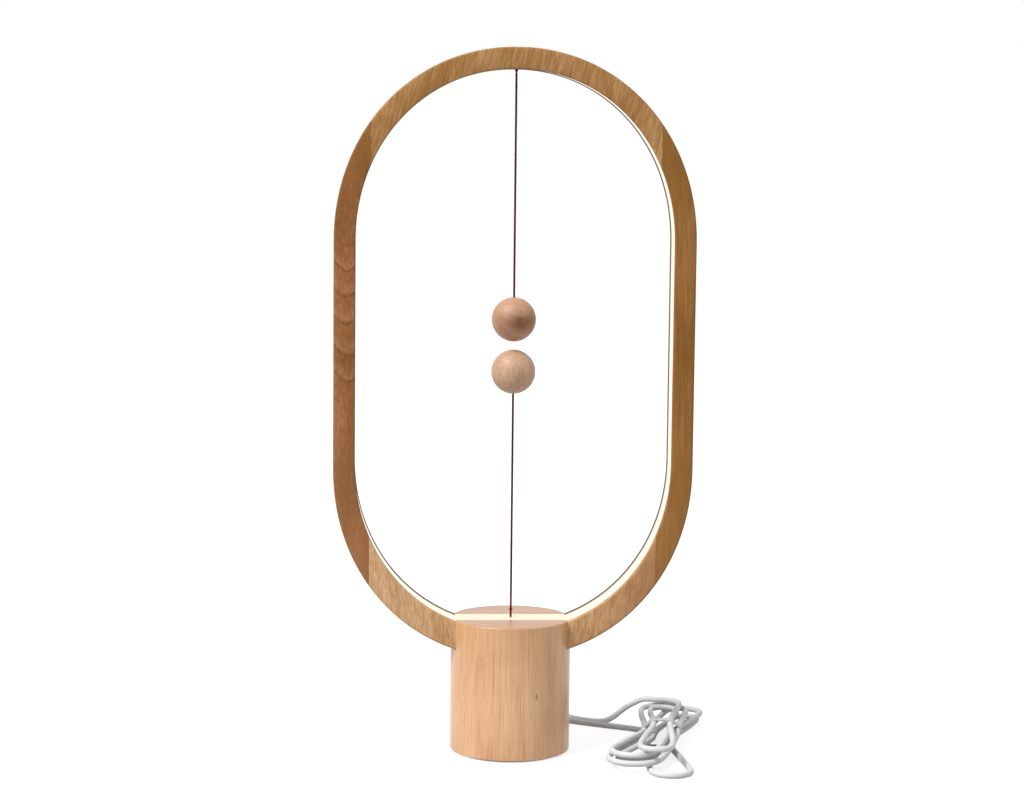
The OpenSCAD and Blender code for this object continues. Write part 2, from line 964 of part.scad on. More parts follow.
module ball_plug(facing) {
    turned(facing)
        intersection() {
            sphere(ball_r);
            translate([0, 0, magnet_pole])
                cylinder(d = magnet_d, h = ball_r);
        }
}

module magnet(facing) {
    turned(facing)
        translate([0, 0, magnet_pole - magnet_l])
            cylinder(d = magnet_d, h = magnet_l);
}

// The knot inside the ball that keeps its cord from pulling out
inner_knot_r = 1.4;
inner_knot_in = pocket_deep + magnet_l - magnet_pole - inner_knot_r;

module lower_cord_bush() {
    color("ivory")
        translate([0, 0, hollow_top])
            ring(bush_d / 2, bush_bore / 2, base_diffuser_top - hollow_top);
}

module pull_cord() {
    color("maroon")
        translate([0, 0, stem_high - pull_seat])
            cylinder(d = string_d,
                h = lower_pivot_z - knot_r - swing_gap - stem_high + pull_seat);
}

module lower_cord_knot() {
    color("maroon")
        translate([0, 0, lower_pivot_z])
            sphere(knot_r);
}

module lower_cord() {
    start = lower_pivot_z + knot_r + swing_gap;
    end = lower_ball_z - inner_knot_in;
    color("maroon") {
        translate([0, 0, start])
            cylinder(d = string_d, h = end - start);
        translate([0, 0, end])
            sphere(inner_knot_r);
    }
}

module lower_ball() {
    color("wheat")
        translate([0, 0, lower_ball_z])
            ball(1);
}

module lower_magnet() {
    color("gray")
        translate([0, 0, lower_ball_z])
            magnet(1);
}

module lower_ball_plug() {
    color("wheat")
        translate([0, 0, lower_ball_z])
            ball_plug(1);
}

module upper_cord_peg() {
    color("ivory")
        translate([0, 0, arch_face_z])
            cylinder(d = peg_d, h = peg_l());
}

module upper_cord_knot() {
    color("maroon")
        translate([0, 0, upper_pivot_z])
            sphere(knot_r);
}

module upper_cord() {
    start = upper_pivot_z - knot_r - swing_gap;
    end = upper_ball_z + inner_knot_in;
    color("maroon") {
        translate([0, 0, end])
            cylinder(d = string_d, h = start - end);
        translate([0, 0, end])
            sphere(inner_knot_r);
    }
}

module upper_ball() {
    color("peru")
        translate([0, 0, upper_ball_z])
            ball(-1);
}

module upper_magnet() {
    color("gray")
        translate([0, 0, upper_ball_z])
            magnet(-1);
}

module upper_ball_plug() {
    color("peru")
        translate([0, 0, upper_ball_z])
            ball_plug(-1);
}

// ---------------------------------------------------------------- supply cord

// Where the gland's neck ends inside the hollow
ring_seat_y = sqrt(pow(hollow_d / 2, 2) - pow(flange_r, 2)) - eps;
neck_end_y = ring_seat_y - gland_ring_t;
module cord_gland() {
    color("darkgray")
        difference() {
            union() {
                along_y(neck_r, neck_end_y, exit_y + eps, exit_h);
                along_y(flange_r, exit_y, relief_y, exit_h);
                translate([0, relief_y - eps, exit_h])
                    rotate([-90, 0, 0])
                        cylinder(r1 = neck_r, r2 = cord_r + 0.6, h = relief_l + eps);
            }
            along_y(cord_r, neck_end_y - over, exit_end + over, exit_h);
        }
}

module gland_ring() {
    color("darkgray")
        difference() {
            along_y(flange_r, neck_end_y, ring_seat_y, exit_h);
            along_y(neck_r, neck_end_y - over, ring_seat_y + over, exit_h);
        }
}

// The cord from inside the wall up to the terminal block
tail_turn_y = 18;
tail_rise_y = 15.8;
module cord_tail() {
    terminal_z = pcb_top + terminal[2] / 2;
    color("lightgray")
        tube(smooth([[0, exit_y, exit_h], [0, neck_end_y, exit_h], [0, tail_turn_y, exit_h + 0.5],
            [0, tail_rise_y, exit_h + 4], [0, tail_rise_y, terminal_z - 3],
            [0, board_b / 2 + 2.2, terminal_z - 0.3], [0, board_b / 2, terminal_z]], 3),
            cord_r - eps, 8, [1, 0, 0]);
}

// A line kept on or above the table
function on_table(line) = [for (p = line) [p[0], p[1], max(p[2], cord_r)]];

module cord_lead() {
    start = hank_line[0];
    before = start + 1.5 * cord_d * unit(start - hank_line[1]);
    color("silver")
        tube(on_table(concat([[0, exit_y, exit_h]], smooth(concat(lead_points, [before]), 2), [start])),
            cord_r, 8, [1, 0, 0]);
}

module cord_hank() {
    echo(hank_least_gap = least_gap(hank_line, cord_d, 6));
    color("silver")
        tube(hank_line, cord_r, 6, [0, 0, 1]);
}

// Where the strands cross the waist, seen along the hank: to its side, and height
waist_spots = [for (t = [run_part:0.5:hank_last / hank_rings])
    if (t > hank_first / hank_rings) waist_spot(hank(t))];
function waist_spot(p) =
    [(p[0] - hank_at[0]) * cos(hank_turn) + (p[1] - hank_at[1]) * sin(hank_turn), p[2]];
module round_waist(r) {
    hull()
        for (p = waist_spots)
            translate(p)
                circle(r, $fn = 24);
}

// A strap pulled tight round the waist
module cord_tie() {
    color("darkgray")
        translate([hank_at[0], hank_at[1], 0])
            rotate([90, 0, hank_turn])
                linear_extrude(tie_w, center = true)
                    difference() {
                        round_waist(cord_r - tie_bite + tie_t);
                        round_waist(cord_r - tie_bite);
                    }
}

module cord_end() {
    n = len(hank_line) - 1;
    start = hank_line[n];
    after = start + 1.5 * cord_d * unit(start - hank_line[n - 1]);
    color("silver")
        tube(on_table(concat([start], smooth(concat([after], end_points), 2),
            [[plug_at[0], plug_at[1], plug_body[2] / 2]])), cord_r, 8, [0, 0, 1]);
}

module usb_plug() {
    color("silver")
        box([plug_at[0] - plug_body[0], plug_at[1] - plug_body[1] / 2, 0],
            [plug_at[0], plug_at[1] + plug_body[1] / 2, plug_body[2]]);
}

module usb_shell() {
    x = plug_at[0] - plug_body[0];
    z = (plug_body[2] - plug_shell[2]) / 2;
    color("gainsboro")
        box([x - plug_shell[0], plug_at[1] - plug_shell[1] / 2, z],
            [x, plug_at[1] + plug_shell[1] / 2, z + plug_shell[2]]);
}

frame_top();
frame_left();
frame_right();
arm_left();
arm_right();
board_dowels();
arm_dowels();
diffuser_loop();
diffuser_base();
led_strip_loop();
leds_loop();
led_strip_base();
leds_base();
led_wires();
base_body();
foot_pad();
bottom_cover();
cover_screws();
ballast();
ballast_screw();
driver_board();
driver_parts();
board_screws();
switch_housing();
switch_cap();
switch_contacts();
switch_screws();
switch_spring();
switch_wires();
switch_plunger();
contact_bridge();
pull_cord();
lower_cord_bush();
lower_cord_knot();
lower_cord();
lower_ball();
lower_magnet();
lower_ball_plug();
upper_cord_peg();
upper_cord_knot();
upper_cord();
upper_ball();
upper_magnet();
upper_ball_plug();
cord_gland();
gland_ring();
cord_tail();
cord_lead();
cord_hank();
cord_tie();
cord_end();
usb_plug();
usb_shell();
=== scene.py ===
import math

import bmesh
import bpy
from mathutils import Matrix, Vector


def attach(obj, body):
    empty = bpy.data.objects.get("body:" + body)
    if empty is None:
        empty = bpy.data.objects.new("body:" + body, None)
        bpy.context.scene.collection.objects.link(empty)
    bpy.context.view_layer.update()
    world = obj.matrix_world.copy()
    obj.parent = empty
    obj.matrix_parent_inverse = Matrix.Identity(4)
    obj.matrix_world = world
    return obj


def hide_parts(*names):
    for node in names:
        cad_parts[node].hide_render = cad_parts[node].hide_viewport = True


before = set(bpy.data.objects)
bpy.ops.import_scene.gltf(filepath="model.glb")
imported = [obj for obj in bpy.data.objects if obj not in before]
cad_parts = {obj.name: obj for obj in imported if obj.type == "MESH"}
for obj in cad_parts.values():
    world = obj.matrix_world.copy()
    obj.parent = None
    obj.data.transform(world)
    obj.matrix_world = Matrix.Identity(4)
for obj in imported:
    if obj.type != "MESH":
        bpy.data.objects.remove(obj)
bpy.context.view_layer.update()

# ---------------------------------------------------------------- sizes

# Sizes repeat part.scad's, in millimetres. Meshes are written in metres.
MM = 0.001
LOOP_W, ARCH_H, SIDE_H = 200.0, 107.0, 122.0
ARCH_FULLNESS, ARM_SWELL = 2.06, 3.2
RAIL_T, RAIL_D, BOARD_W = 12.0, 26.0, 20.0
BASE_D, BASE_H, LOOP_SINK, EDGE = 67.5, 76.0, 18.0, 0.75
DIFFUSER_W, DIFFUSER_T, RECESS = 19.4, 1.6, 0.5
BASE_RECESS = 0.2
CHANNEL_W, CHANNEL_H = 12.0, 3.4
PAD_T, PAD_D, COVER_D, COVER_T, COVER_PLAY = 1.0, 62.0, 60.0, 3.0, 0.2
HOLLOW_D, HOLLOW_TOP = 48.0, 63.0
BALL_R, LOWER_Z, UPPER_Z = 12.3, 214.8, 244.0
STRING_D = 1.2
LOWER_PIVOT, UPPER_PIVOT, KNOT_R = 80.3, 381.3, 0.9
CORD_D, EXIT_H, EXIT_Y, EXIT_END = 3.4, 19.0, 33.0, 44.5
PLUG_AT, PLUG_BODY, PLUG_SHELL = (22.0, 86.0), (20.0, 14.0, 8.0), (16.0, 12.0, 4.5)

# Worked out from them: heights of the arches' middles, where boards and base meet, and
# how far inside the loop's outline the light's face, its back and its channel's floor lie
LOW_Z = BASE_H - LOOP_SINK + ARCH_H
HIGH_Z = LOW_Z + SIDE_H
BASE_R = BASE_D / 2
JOINT_X = LOOP_W / 2 - BOARD_W
ARM_BITE = 0.15
ARM_X = math.sqrt(BASE_R ** 2 - (RAIL_D / 2) ** 2) - ARM_BITE
FACE = RAIL_T - RECESS
BACK = FACE - DIFFUSER_T
CHANNEL_FLOOR = BACK - CHANNEL_H
ARCH_FACE = HIGH_Z + ARCH_H - FACE
HALF_RAIL, HALF_LIGHT, HALF_CHANNEL = RAIL_D / 2, DIFFUSER_W / 2, CHANNEL_W / 2
STAND = "stand"

# ---------------------------------------------------------------- camera

# The view's right and up, the eye's place in metres, and the lens for a picture this wide
RIGHT = Vector((0.99835835, -0.05626206, 0.01073237))
UP = Vector((-0.00437073, 0.11199701, 0.99369893))
EYE = (-0.08116, -1.4, 0.35799)
FOCAL_PX, WIDTH_PX, SENSOR = 2528.8, 1024.0, 36.0

camera = bpy.data.objects.new("camera", bpy.data.cameras.new("camera"))
camera.data.sensor_width = SENSOR
camera.data.lens = FOCAL_PX * SENSOR / WIDTH_PX
camera.data.clip_start, camera.data.clip_end = 0.05, 60.0
right = RIGHT.normalized()
up = (UP - UP.dot(right) * right).normalized()
back = right.cross(up)
camera.matrix_world = Matrix.Translation(EYE) @ Matrix(
    ((right.x, up.x, back.x), (right.y, up.y, back.y), (right.z, up.z, back.z))).to_4x4()
bpy.context.scene.collection.objects.link(camera)
bpy.context.scene.camera = camera

# ---------------------------------------------------------------- shapes


def clamp(x, low=0.0, high=1.0):
    return min(max(x, low), high)


def ease(x):
    """0 to 1 with a level start and end."""
    c = clamp(x)
    return c * c * (3 - 2 * c)


def add_object(name, data):
    obj = bpy.data.objects.new(name, data)
    bpy.context.scene.collection.objects.link(obj)
    return obj


def mesh_of(name, shape):
    """A mesh in metres from points in millimetres and faces, which all face outwards."""
    verts, faces = shape
    mesh = bpy.data.meshes.new(name)
    mesh.from_pydata([Vector(v) * MM for v in verts], [], faces)
    bm = bmesh.new()
    bm.from_mesh(mesh)
    bmesh.ops.recalc_face_normals(bm, faces=bm.faces)
    bm.to_mesh(mesh)
    bm.free()
    return mesh


def shade_smooth(mesh, sharp=35):
    """Shades a mesh smooth, apart from edges sharper than this many degrees."""
    mesh.polygons.foreach_set("use_smooth", [True] * len(mesh.polygons))
    mesh.set_sharp_from_angle(angle=math.radians(sharp))


def piece(name, shape, body, slot, material, *nodes, sharp=35):
    """A shape that rides on a body of the part and stands for these CAD nodes."""
    mesh = mesh_of(name, shape)
    shade_smooth(mesh, sharp)
    mesh.materials.append(material)
    obj = add_object(name, mesh)
    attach(obj, body)
    if nodes:
        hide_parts(*nodes)
    return obj


def cut(obj, cutters):
    """Takes closed shapes, given as points in millimetres and faces, out of a piece."""
    made = []
    for i, shape in enumerate(cutters):
        cutter = add_object("cutter%d" % i, mesh_of("cutter", shape))
        modifier = obj.modifiers.new("cut%d" % i, "BOOLEAN")
        modifier.operation, modifier.solver, modifier.object = "DIFFERENCE", "EXACT", cutter
        made.append(cutter)
    bpy.context.view_layer.update()
    evaluated = obj.evaluated_get(bpy.context.evaluated_depsgraph_get())
    mesh = bpy.data.meshes.new_from_object(evaluated)
    obj.modifiers.clear()
    old, obj.data = obj.data, mesh
    mesh.name = obj.name
    bpy.data.meshes.remove(old)
    for cutter in made:
        shape = cutter.data
        bpy.data.objects.remove(cutter)
        bpy.data.meshes.remove(shape)
    shade_smooth(mesh)


def join(*shapes):
    """Several shapes, each of points and faces, as one."""
    verts, faces = [], []
    for points, sides in shapes:
        n = len(verts)
        verts += [tuple(p) for p in points]
        faces += [tuple(i + n for i in side) for side in sides]
    return verts, faces


def grid_faces(rings, sides, closed=False):
    """Quads between rings of points that follow each other, back to the first if closed."""
    out = []
    for i in range(rings if closed else rings - 1):
        j = (i + 1) % rings
        for k in range(sides):
            n = (k + 1) % sides
            out.append((i * sides + k, j * sides + k, j * sides + n, i * sides + n))
    return out


def skin_faces(rings, sides):
    """The quads between rings of points, and a cap over the first and the last ring."""
    last = (rings - 1) * sides
    caps = [tuple(range(sides)), tuple(last + k for k in reversed(range(sides)))]
    return grid_faces(rings, sides) + caps


def tube(line, radius, sides, start_up, caps=True):
    """A tube along a line. radius is a number, or a function of the ring's place along
    the line, in millimetres, and the angle round it."""
    points = [Vector(p) for p in line]
    verts, normal, run = [], Vector(start_up), 0.0
    for i, p in enumerate(points):
        before, after = points[max(i - 1, 0)], points[min(i + 1, len(points) - 1)]
        along = (after - before).normalized()
        normal = (normal - normal.dot(along) * along).normalized()
        side = along.cross(normal)
        if i:
            run += (p - points[i - 1]).length
        for k in range(sides):
            angle = 2 * math.pi * k / sides
            r = radius(run, angle) if callable(radius) else radius
            verts.append(p + r * (math.cos(angle) * normal + math.sin(angle) * side))
    faces = skin_faces if caps else grid_faces
    return verts, faces(len(points), sides)


def lathe(profile, segments):
    """A solid turned about Z from (radius, height) points that start and end on the
    axis, or a ring where the profile closes on itself."""
    on_axis = profile[0][0] == 0
    verts = []
    for r, height in (profile[1:-1] if on_axis else profile):
        for k in range(segments):
            a = 2 * math.pi * k / segments
            verts.append((r * math.cos(a), r * math.sin(a), height))
    rings = len(verts) // segments
    faces = grid_faces(rings, segments, closed=not on_axis)
    if on_axis:
        low, high, last = len(verts), len(verts) + 1, (rings - 1) * segments
        verts += [(0, 0, profile[0][1]), (0, 0, profile[-1][1])]
        for k in range(segments):
            n = (k + 1) % segments
            faces += [(low, n, k), (high, last + k, last + n)]
    return verts, faces


def arc(cx, cy, r, a0, a1, steps):
    """Points on an arc, angles in degrees."""
    angles = [math.radians(a0 + (a1 - a0) * i / steps) for i in range(steps + 1)]
    return [(cx + r * math.cos(a), cy + r * math.sin(a)) for a in angles]


def rounded(corners, steps):
    """A closed outline of (x, y, radius) corners with each corner rounded."""
    out = []
    for i, (x, y, r) in enumerate(corners):
        if r <= 0:
            out.append((x, y))
            continue
        p = Vector((x, y))
        a = (Vector(corners[i - 1][:2]) - p).normalized()
        b = (Vector(corners[(i + 1) % len(corners)][:2]) - p).normalized()
        half = a.angle(b) / 2
        reach = r / math.tan(half)
        centre = p + (a + b).normalized() * (r / math.sin(half))
        start, end = p + a * reach - centre, p + b * reach - centre
        a0 = math.atan2(start.y, start.x)
        turn = math.atan2(start.x * end.y - start.y * end.x, start.dot(end))
        for k in range(steps + 1):
            t = a0 + turn * k / steps
            out.append((centre.x + r * math.cos(t), centre.y + r * math.sin(t)))
    return out


def rounded_box(w, low, high, r, steps):
    """The outline of a box w wide about the middle, from low to high, with round corners."""
    return rounded([(-w / 2, low, r), (w / 2, low, r), (w / 2, high, r), (-w / 2, high, r)], steps)


def block(low, high, r=0.0, steps=1):
    """A box with rounded edges, as points and faces."""
    bm = bmesh.new()
    bmesh.ops.create_cube(bm, size=1)
    size = Vector(high) - Vector(low)
    middle = (Vector(high) + Vector(low)) / 2
    for v in bm.verts:
        v.co = Vector((v.co.x * size.x, v.co.y * size.y, v.co.z * size.z)) + middle
    if r > 0:
        bmesh.ops.bevel(bm, geom=bm.edges[:], offset=r, segments=steps, profile=0.5, affect="EDGES")
    bm.verts.ensure_lookup_table()
    verts = [tuple(v.co) for v in bm.verts]
    faces = [tuple(v.index for v in face.verts) for face in bm.faces]
    bm.free()
    return verts, faces


# ---------------------------------------------------------------- materials


def srgb(r, g, b):
    """A colour given as seen, 0 to 255, as Blender's linear value."""
    def lin(c):
        c /= 255.0
        return c / 12.92 if c <= 0.04045 else ((c + 0.055) / 1.055) ** 2.4
    return (lin(r), lin(g), lin(b), 1.0)


def scaled(colour, k):
    """A colour k times as bright."""
    return tuple(c * k for c in colour[:3]) + (1.0,)


# Nothing and all of a mask, as colours
NONE, ALL = (0, 0, 0, 1), (1, 1, 1, 1)


class Nodes:
    """A short way to write a material's node tree. place is the point's place on the
    part in metres, and normal the way that its surface faces."""

    def __init__(self, name):
        self.mat = bpy.data.materials.new(name)
        self.mat.use_nodes = True
        self.tree = self.mat.node_tree
        self.bsdf = self.tree.nodes["Principled BSDF"]
        coords = self.tree.nodes.new("ShaderNodeTexCoord")
        self.place, self.normal = coords.outputs["Object"], coords.outputs["Normal"]

    def add(self, kind, **sets):
        n = self.tree.nodes.new("ShaderNode" + kind)
        for k, v in sets.items():
            setattr(n, k, v)
        return n

    def link(self, a, b):
        self.tree.links.new(a, b)

    def put(self, socket, value):
        if isinstance(value, bpy.types.NodeSocket):
            self.link(value, socket)
        else:
            socket.default_value = value

    def mapped(self, source, rotation=(0, 0, 0), scale=(1, 1, 1), shift=(0, 0, 0)):
        n = self.add("Mapping")
        n.inputs["Rotation"].default_value = [math.radians(a) for a in rotation]
        n.inputs["Scale"].default_value = scale
        n.inputs["Location"].default_value = shift
        self.link(source, n.inputs["Vector"])
        return n.outputs[0]

    def noise(self, size, turn=(0, 0, 0), detail=3.0, rough=0.5, bend=0.0, shift=(0, 0, 0)):
        """Noise whose grains are this long in x, y and z, in millimetres."""
        turned = self.mapped(self.place, turn)
        grains = self.mapped(turned, scale=[1 / (MM * s) for s in size], shift=shift)
        n = self.add("TexNoise")
        n.inputs["Scale"].default_value = 1.0
        n.inputs["Detail"].default_value = detail
        n.inputs["Roughness"].default_value = rough
        n.inputs["Distortion"].default_value = bend
        self.link(grains, n.inputs["Vector"])
        return n.outputs["Fac"]

    def math(self, op, a, b=0.0, cap=False):
        n = self.add("Math", operation=op, use_clamp=cap)
        self.put(n.inputs[0], a)
        self.put(n.inputs[1], b)
        return n.outputs[0]

    def times(self, a, b):
        return self.math("MULTIPLY", a, b)

    def away(self, value, centre, width):
        """How far a value lies from a centre, in widths."""
        return self.math("ABSOLUTE", self.math("DIVIDE", self.math("SUBTRACT", value, centre), width))

    def vector(self, op, a, b):
        n = self.add("VectorMath", operation=op)
        self.put(n.inputs[0], a)
        self.put(n.inputs[1], b)
        return n.outputs["Value" if op == "DOT_PRODUCT" else "Vector"]

    def xyz(self, vector):
        n = self.add("SeparateXYZ")
        self.link(vector, n.inputs[0])
        return n.outputs["X"], n.outputs["Y"], n.outputs["Z"]

    def span(self, value, low, high, to_low=0.0, to_high=1.0):
        """to_low up to low, to_high from high on, and evenly between."""
        n = self.add("MapRange")
        n.inputs["From Min"].default_value, n.inputs["From Max"].default_value = low, high
        n.inputs["To Min"].default_value, n.inputs["To Max"].default_value = to_low, to_high
        self.put(n.inputs["Value"], value)
        return n.outputs[0]

    def ramp(self, value, *stops):
        n = self.add("ValToRGB")
        e = n.color_ramp.elements
        while len(e) < len(stops):
            e.new(0.5)
        for item, (at, colour) in zip(e, stops):
            item.position = at
            item.color = colour
        self.put(n.inputs[0], value)
        return n.outputs[0]

    def mix(self, fac, a, b, blend="MIX"):
        n = self.add("Mix", data_type="RGBA", blend_type=blend)
        colour_a, colour_b, colour_out = n.inputs[6], n.inputs[7], n.outputs[2]
        self.put(n.inputs[0], fac)
        self.put(colour_a, a)
        self.put(colour_b, b)
        return colour_out

    def bump(self, height, distance, strength):
        n = self.add("Bump")
        n.inputs["Strength"].default_value = strength
        n.inputs["Distance"].default_value = distance * MM
        self.link(height, n.inputs["Height"])
        return n.outputs[0]

    def set(self, **values):
        for k, v in values.items():
            self.put(self.bsdf.inputs[k.replace("_", " ")], v)
        return self.mat


# How long beech's marks are across the grain, twice, and along it, in millimetres
CLOUD, GROWTH, HAIR = (16, 16, 60), (2.4, 2.4, 150), (0.55, 0.55, 46)
PORE, RAY = (0.35, 0.35, 3.0), (0.8, 0.5, 3.0)


def wood(name, dark, mid, light, turn=(0, 0, 0), stroke=(1.0, 1.0, 8.0), strokes=0.6, broad=0.35,
         fleck=0.3, lines=0.3, hairs=0.25, shift=(0, 0, 0), gloss=0.2, coat=0.0, figures=()):
    """Beech: a calm broad tone, short grain strokes, growth lines, hair lines, pores and
    pale rays, all along local Z after the turn, then the figures and painted shade of one
    board or ball.
    A mark shows where its noise passes span's first number, in full from its second.
    shift picks the piece of wood, and each kind of mark lies apart from the others."""
    n = Nodes(name)
    dark, mid, light = srgb(*dark), srgb(*mid), srgb(*light)
    cloud = n.noise(CLOUD, turn, 2, bend=0.3, shift=shift)
    fine = n.noise(stroke, turn, 2, bend=0.4, shift=shift)
    tone = n.times(n.span(cloud, 0.3, 0.7, -0.5, 0.5), broad)
    level = n.math("ADD", tone, n.times(n.span(fine, 0.3, 0.7, -0.5, 0.5), strokes))
    colour = n.ramp(n.math("ADD", level, 0.5), (0.0, dark), (0.5, mid), (1.0, light))
    growth = n.noise(GROWTH, turn, 2, bend=0.2, shift=[s + 3.7 for s in shift])
    colour = n.mix(n.span(growth, 0.54, 0.70, 0.0, lines), colour, dark)
    hair = n.noise(HAIR, turn, 2, bend=0.2, shift=[s + 6.3 for s in shift])
    colour = n.mix(n.span(hair, 0.61, 0.69, 0.0, hairs), colour, dark)
    pores = n.noise(PORE, turn, 2, shift=shift)
    colour = n.mix(n.span(pores, 0.60, 0.74, 0.0, fleck), colour, scaled(dark, 0.6))
    rays = n.noise(RAY, turn, 1, 0.4, shift=[s + 9.1 for s in shift])
    colour = n.mix(n.span(rays, 0.64, 0.76, 0.0, 0.3), colour, light)
    for figure in figures:
        colour = figure(n, colour, dark, light)
    height = n.math("ADD", n.times(fine, 0.4), n.times(pores, -0.8))
    return n.set(Base_Color=colour, Roughness=n.span(pores, 0.3, 0.7, 0.45, 0.62),
                 Normal=n.bump(height, 0.04, 0.5), Specular_IOR_Level=gloss,
                 Coat_Weight=coat, Coat_Roughness=0.25)


def scallops(n, colour, dark, light):
    """Bow-shaped growth lines across a flat-sawn board, lowest a little right of its middle."""
    lowest_x, bend, first_z, pitch, waver = -0.0922, 90.0, 0.2172, 0.0147, 0.012
    from_z, to_z = (0.198, 0.212), (0.292, 0.276)
    x, _, z = n.xyz(n.place)
    wobble = n.noise((22, 22, 22), detail=2, rough=0.55)
    across = n.math("SUBTRACT", x, lowest_x)
    bow = n.times(n.times(across, across), bend)
    level = n.math("SUBTRACT", n.math("ADD", z, n.times(wobble, waver)), bow)
    part = n.math("FRACT", n.math("DIVIDE", n.math("SUBTRACT", level, first_z), pitch))
    broken = n.noise((1.6, 1.6, 2.2), rough=0.6)
    there = n.times(n.span(z, *from_z), n.span(z, *to_z))
    here = n.times(there, n.span(broken, 0.36, 0.58, 0.15, 1.0))
    line = n.ramp(part, (0.0, NONE), (0.06, ALL), (0.15, NONE))
    pale = n.ramp(part, (0.08, NONE), (0.20, ALL), (0.6, NONE))
    colour = n.mix(n.times(n.times(line, here), 0.75), colour, scaled(dark, 0.62))
    return n.mix(n.times(n.times(pale, here), 0.7), colour, light)


def far_lip_painted_shade(n, colour, dark, light):
    """The rail's lip beyond the light, painted dark grey-brown: painted shade on its inner face."""
    middle_z, lip_y, full_y = (LOW_Z + HIGH_Z) / 2 * MM, 0.0086, 0.0092
    flat = n.vector("MULTIPLY", n.place, (1, 0, 1))
    inward = n.vector("DOT_PRODUCT", n.vector("SUBTRACT", flat, (0, 0, middle_z)), n.normal)
    _, y, _ = n.xyz(n.place)
    _, facing, _ = n.xyz(n.normal)
    mask = n.math("MAXIMUM", n.span(inward, -0.030, -0.045), n.span(facing, -0.3, -0.6))
    # Painted shade: a dark grey-brown over the inner face of the lip beyond the light
    return n.mix(n.times(mask, n.span(y, lip_y, full_y)), colour, srgb(104, 89, 76))


def paler_foot(n, colour, dark, light):
    """A board that grows paler towards its lower end and browner towards its upper one."""
    _, _, z = n.xyz(n.place)
    colour = n.mix(n.span(z, 0.205, 0.10, 0.0, 0.45), colour, light)
    return n.mix(n.span(z, 0.300, 0.345, 0.0, 0.6), colour, srgb(128, 88, 34))


def to_arm(n, colour, dark, light):
    """A board that darkens towards its outer end."""
    x, _, _ = n.xyz(n.place)
    return n.mix(n.span(x, 0.045, 0.088, 0.0, 0.8), colour, dark)


def painted_shade_belt(n, colour, dark, light):
    """Painted shade: a darker belt round a ball, deepest right of its front."""
    belt_x, belt_z, half_length, half_height = 0.0022, 0.2432, 0.0150, 0.0052
    x, _, z = n.xyz(n.place)
    wave = n.noise((9, 9, 5), detail=2)
    height = n.math("ADD", z, n.span(wave, 0.3, 0.7, -0.0012, 0.0012))
    belt = n.math("SUBTRACT", 1.35, n.away(height, belt_z, half_height), cap=True)
    side = n.math("SUBTRACT", 1.0, n.away(x, belt_x, half_length), cap=True)
    # Painted shade: the belt mixes the ball towards its dark wood colour
    return n.mix(n.times(belt, side), colour, dark)


def end_grain_and_shade(n, colour, dark, light):
    """Darker end grain on the turned top, painted shade that browns the side towards its upper end, and
    one small fleck in front.
    """
    spot_x, spot_z, spot_w, spot_h = 0.0131, 0.037, 0.0006, 0.0022
    side_z, top_z = (BASE_H - 0.35) * MM, (BASE_H - 0.1) * MM
    x, y, z = n.xyz(n.place)
    rings = n.noise((30, 1.6, 30), (0, 0, 12), bend=0.6)
    end = n.mix(n.span(rings, 0.35, 0.65), srgb(164, 122, 86), srgb(177, 132, 94))
    # Painted shade: the side grows browner towards its top, where less light comes up from the floor
    colour = n.mix(n.span(z, 0.030, 0.075, 0.0, 0.3), colour, srgb(186, 138, 88))
    colour = n.mix(n.span(z, side_z, top_z), colour, end)
    far = n.math("ADD", n.math("POWER", n.away(x, spot_x, spot_w), 2.0),
                 n.math("POWER", n.away(z, spot_z, spot_h), 2.0))
    spot = n.times(n.span(far, 1.4, 0.3), n.span(y, -0.028, -0.030))
    return n.mix(n.times(spot, 0.7), colour, scaled(dark, 0.5))


def plain(name, colour, rough=0.5, grain=0.4, depth=0.02, metallic=0.0):
    """Moulded plastic, rubber or metal with a fine surface and slight change of tone."""
    vary = 0.06
    n = Nodes(name)
    spots = n.noise((grain,) * 3, detail=2)
    broad = n.noise((14, 14, 14), detail=2)
    tone = n.mix(1.0, srgb(*colour), n.span(broad, 0.3, 0.7, 1 - vary, 1 + vary), "MULTIPLY")
    return n.set(Base_Color=tone, Roughness=n.span(spots, 0.3, 0.7, rough - 0.06, rough + 0.06),
                 Normal=n.bump(spots, depth, 0.6), Metallic=metallic)


def glow(name, colour, strength, base):
    """An opal diffuser that shines almost evenly."""
    n = Nodes(name)
    cloud = n.noise((16, 16, 16), detail=1)
    tone = n.mix(n.span(cloud, 0.3, 0.7), colour, scaled(colour, 0.97))
    return n.set(Base_Color=srgb(*base), Emission_Color=tone, Emission_Strength=strength, Roughness=0.45)


def braided():
    """Dark red braid: the strands' shape is in the mesh, this adds their threads. Its
    lowest stretch, over the base, is painted redder and brighter: painted light from the base below."""
    n = Nodes("ball_cord")
    threads = n.noise((0.12, 0.12, 0.5), detail=2)
    tone = n.ramp(n.span(threads, 0.3, 0.7), (0.0, srgb(42, 4, 8)), (0.6, srgb(68, 10, 14)),
                  (1.0, srgb(96, 24, 26)))
    _, _, z = n.xyz(n.place)
    # Painted light: the stretch just over the base is mixed towards a brighter red, as if lit from the
    # base
    tone = n.mix(n.span(z, 0.094, 0.082, 0.0, 0.7), tone, srgb(124, 18, 14))
    return n.set(Base_Color=tone, Roughness=0.7, Normal=n.bump(threads, 0.03, 0.6),
                 Specular_IOR_Level=0.15)


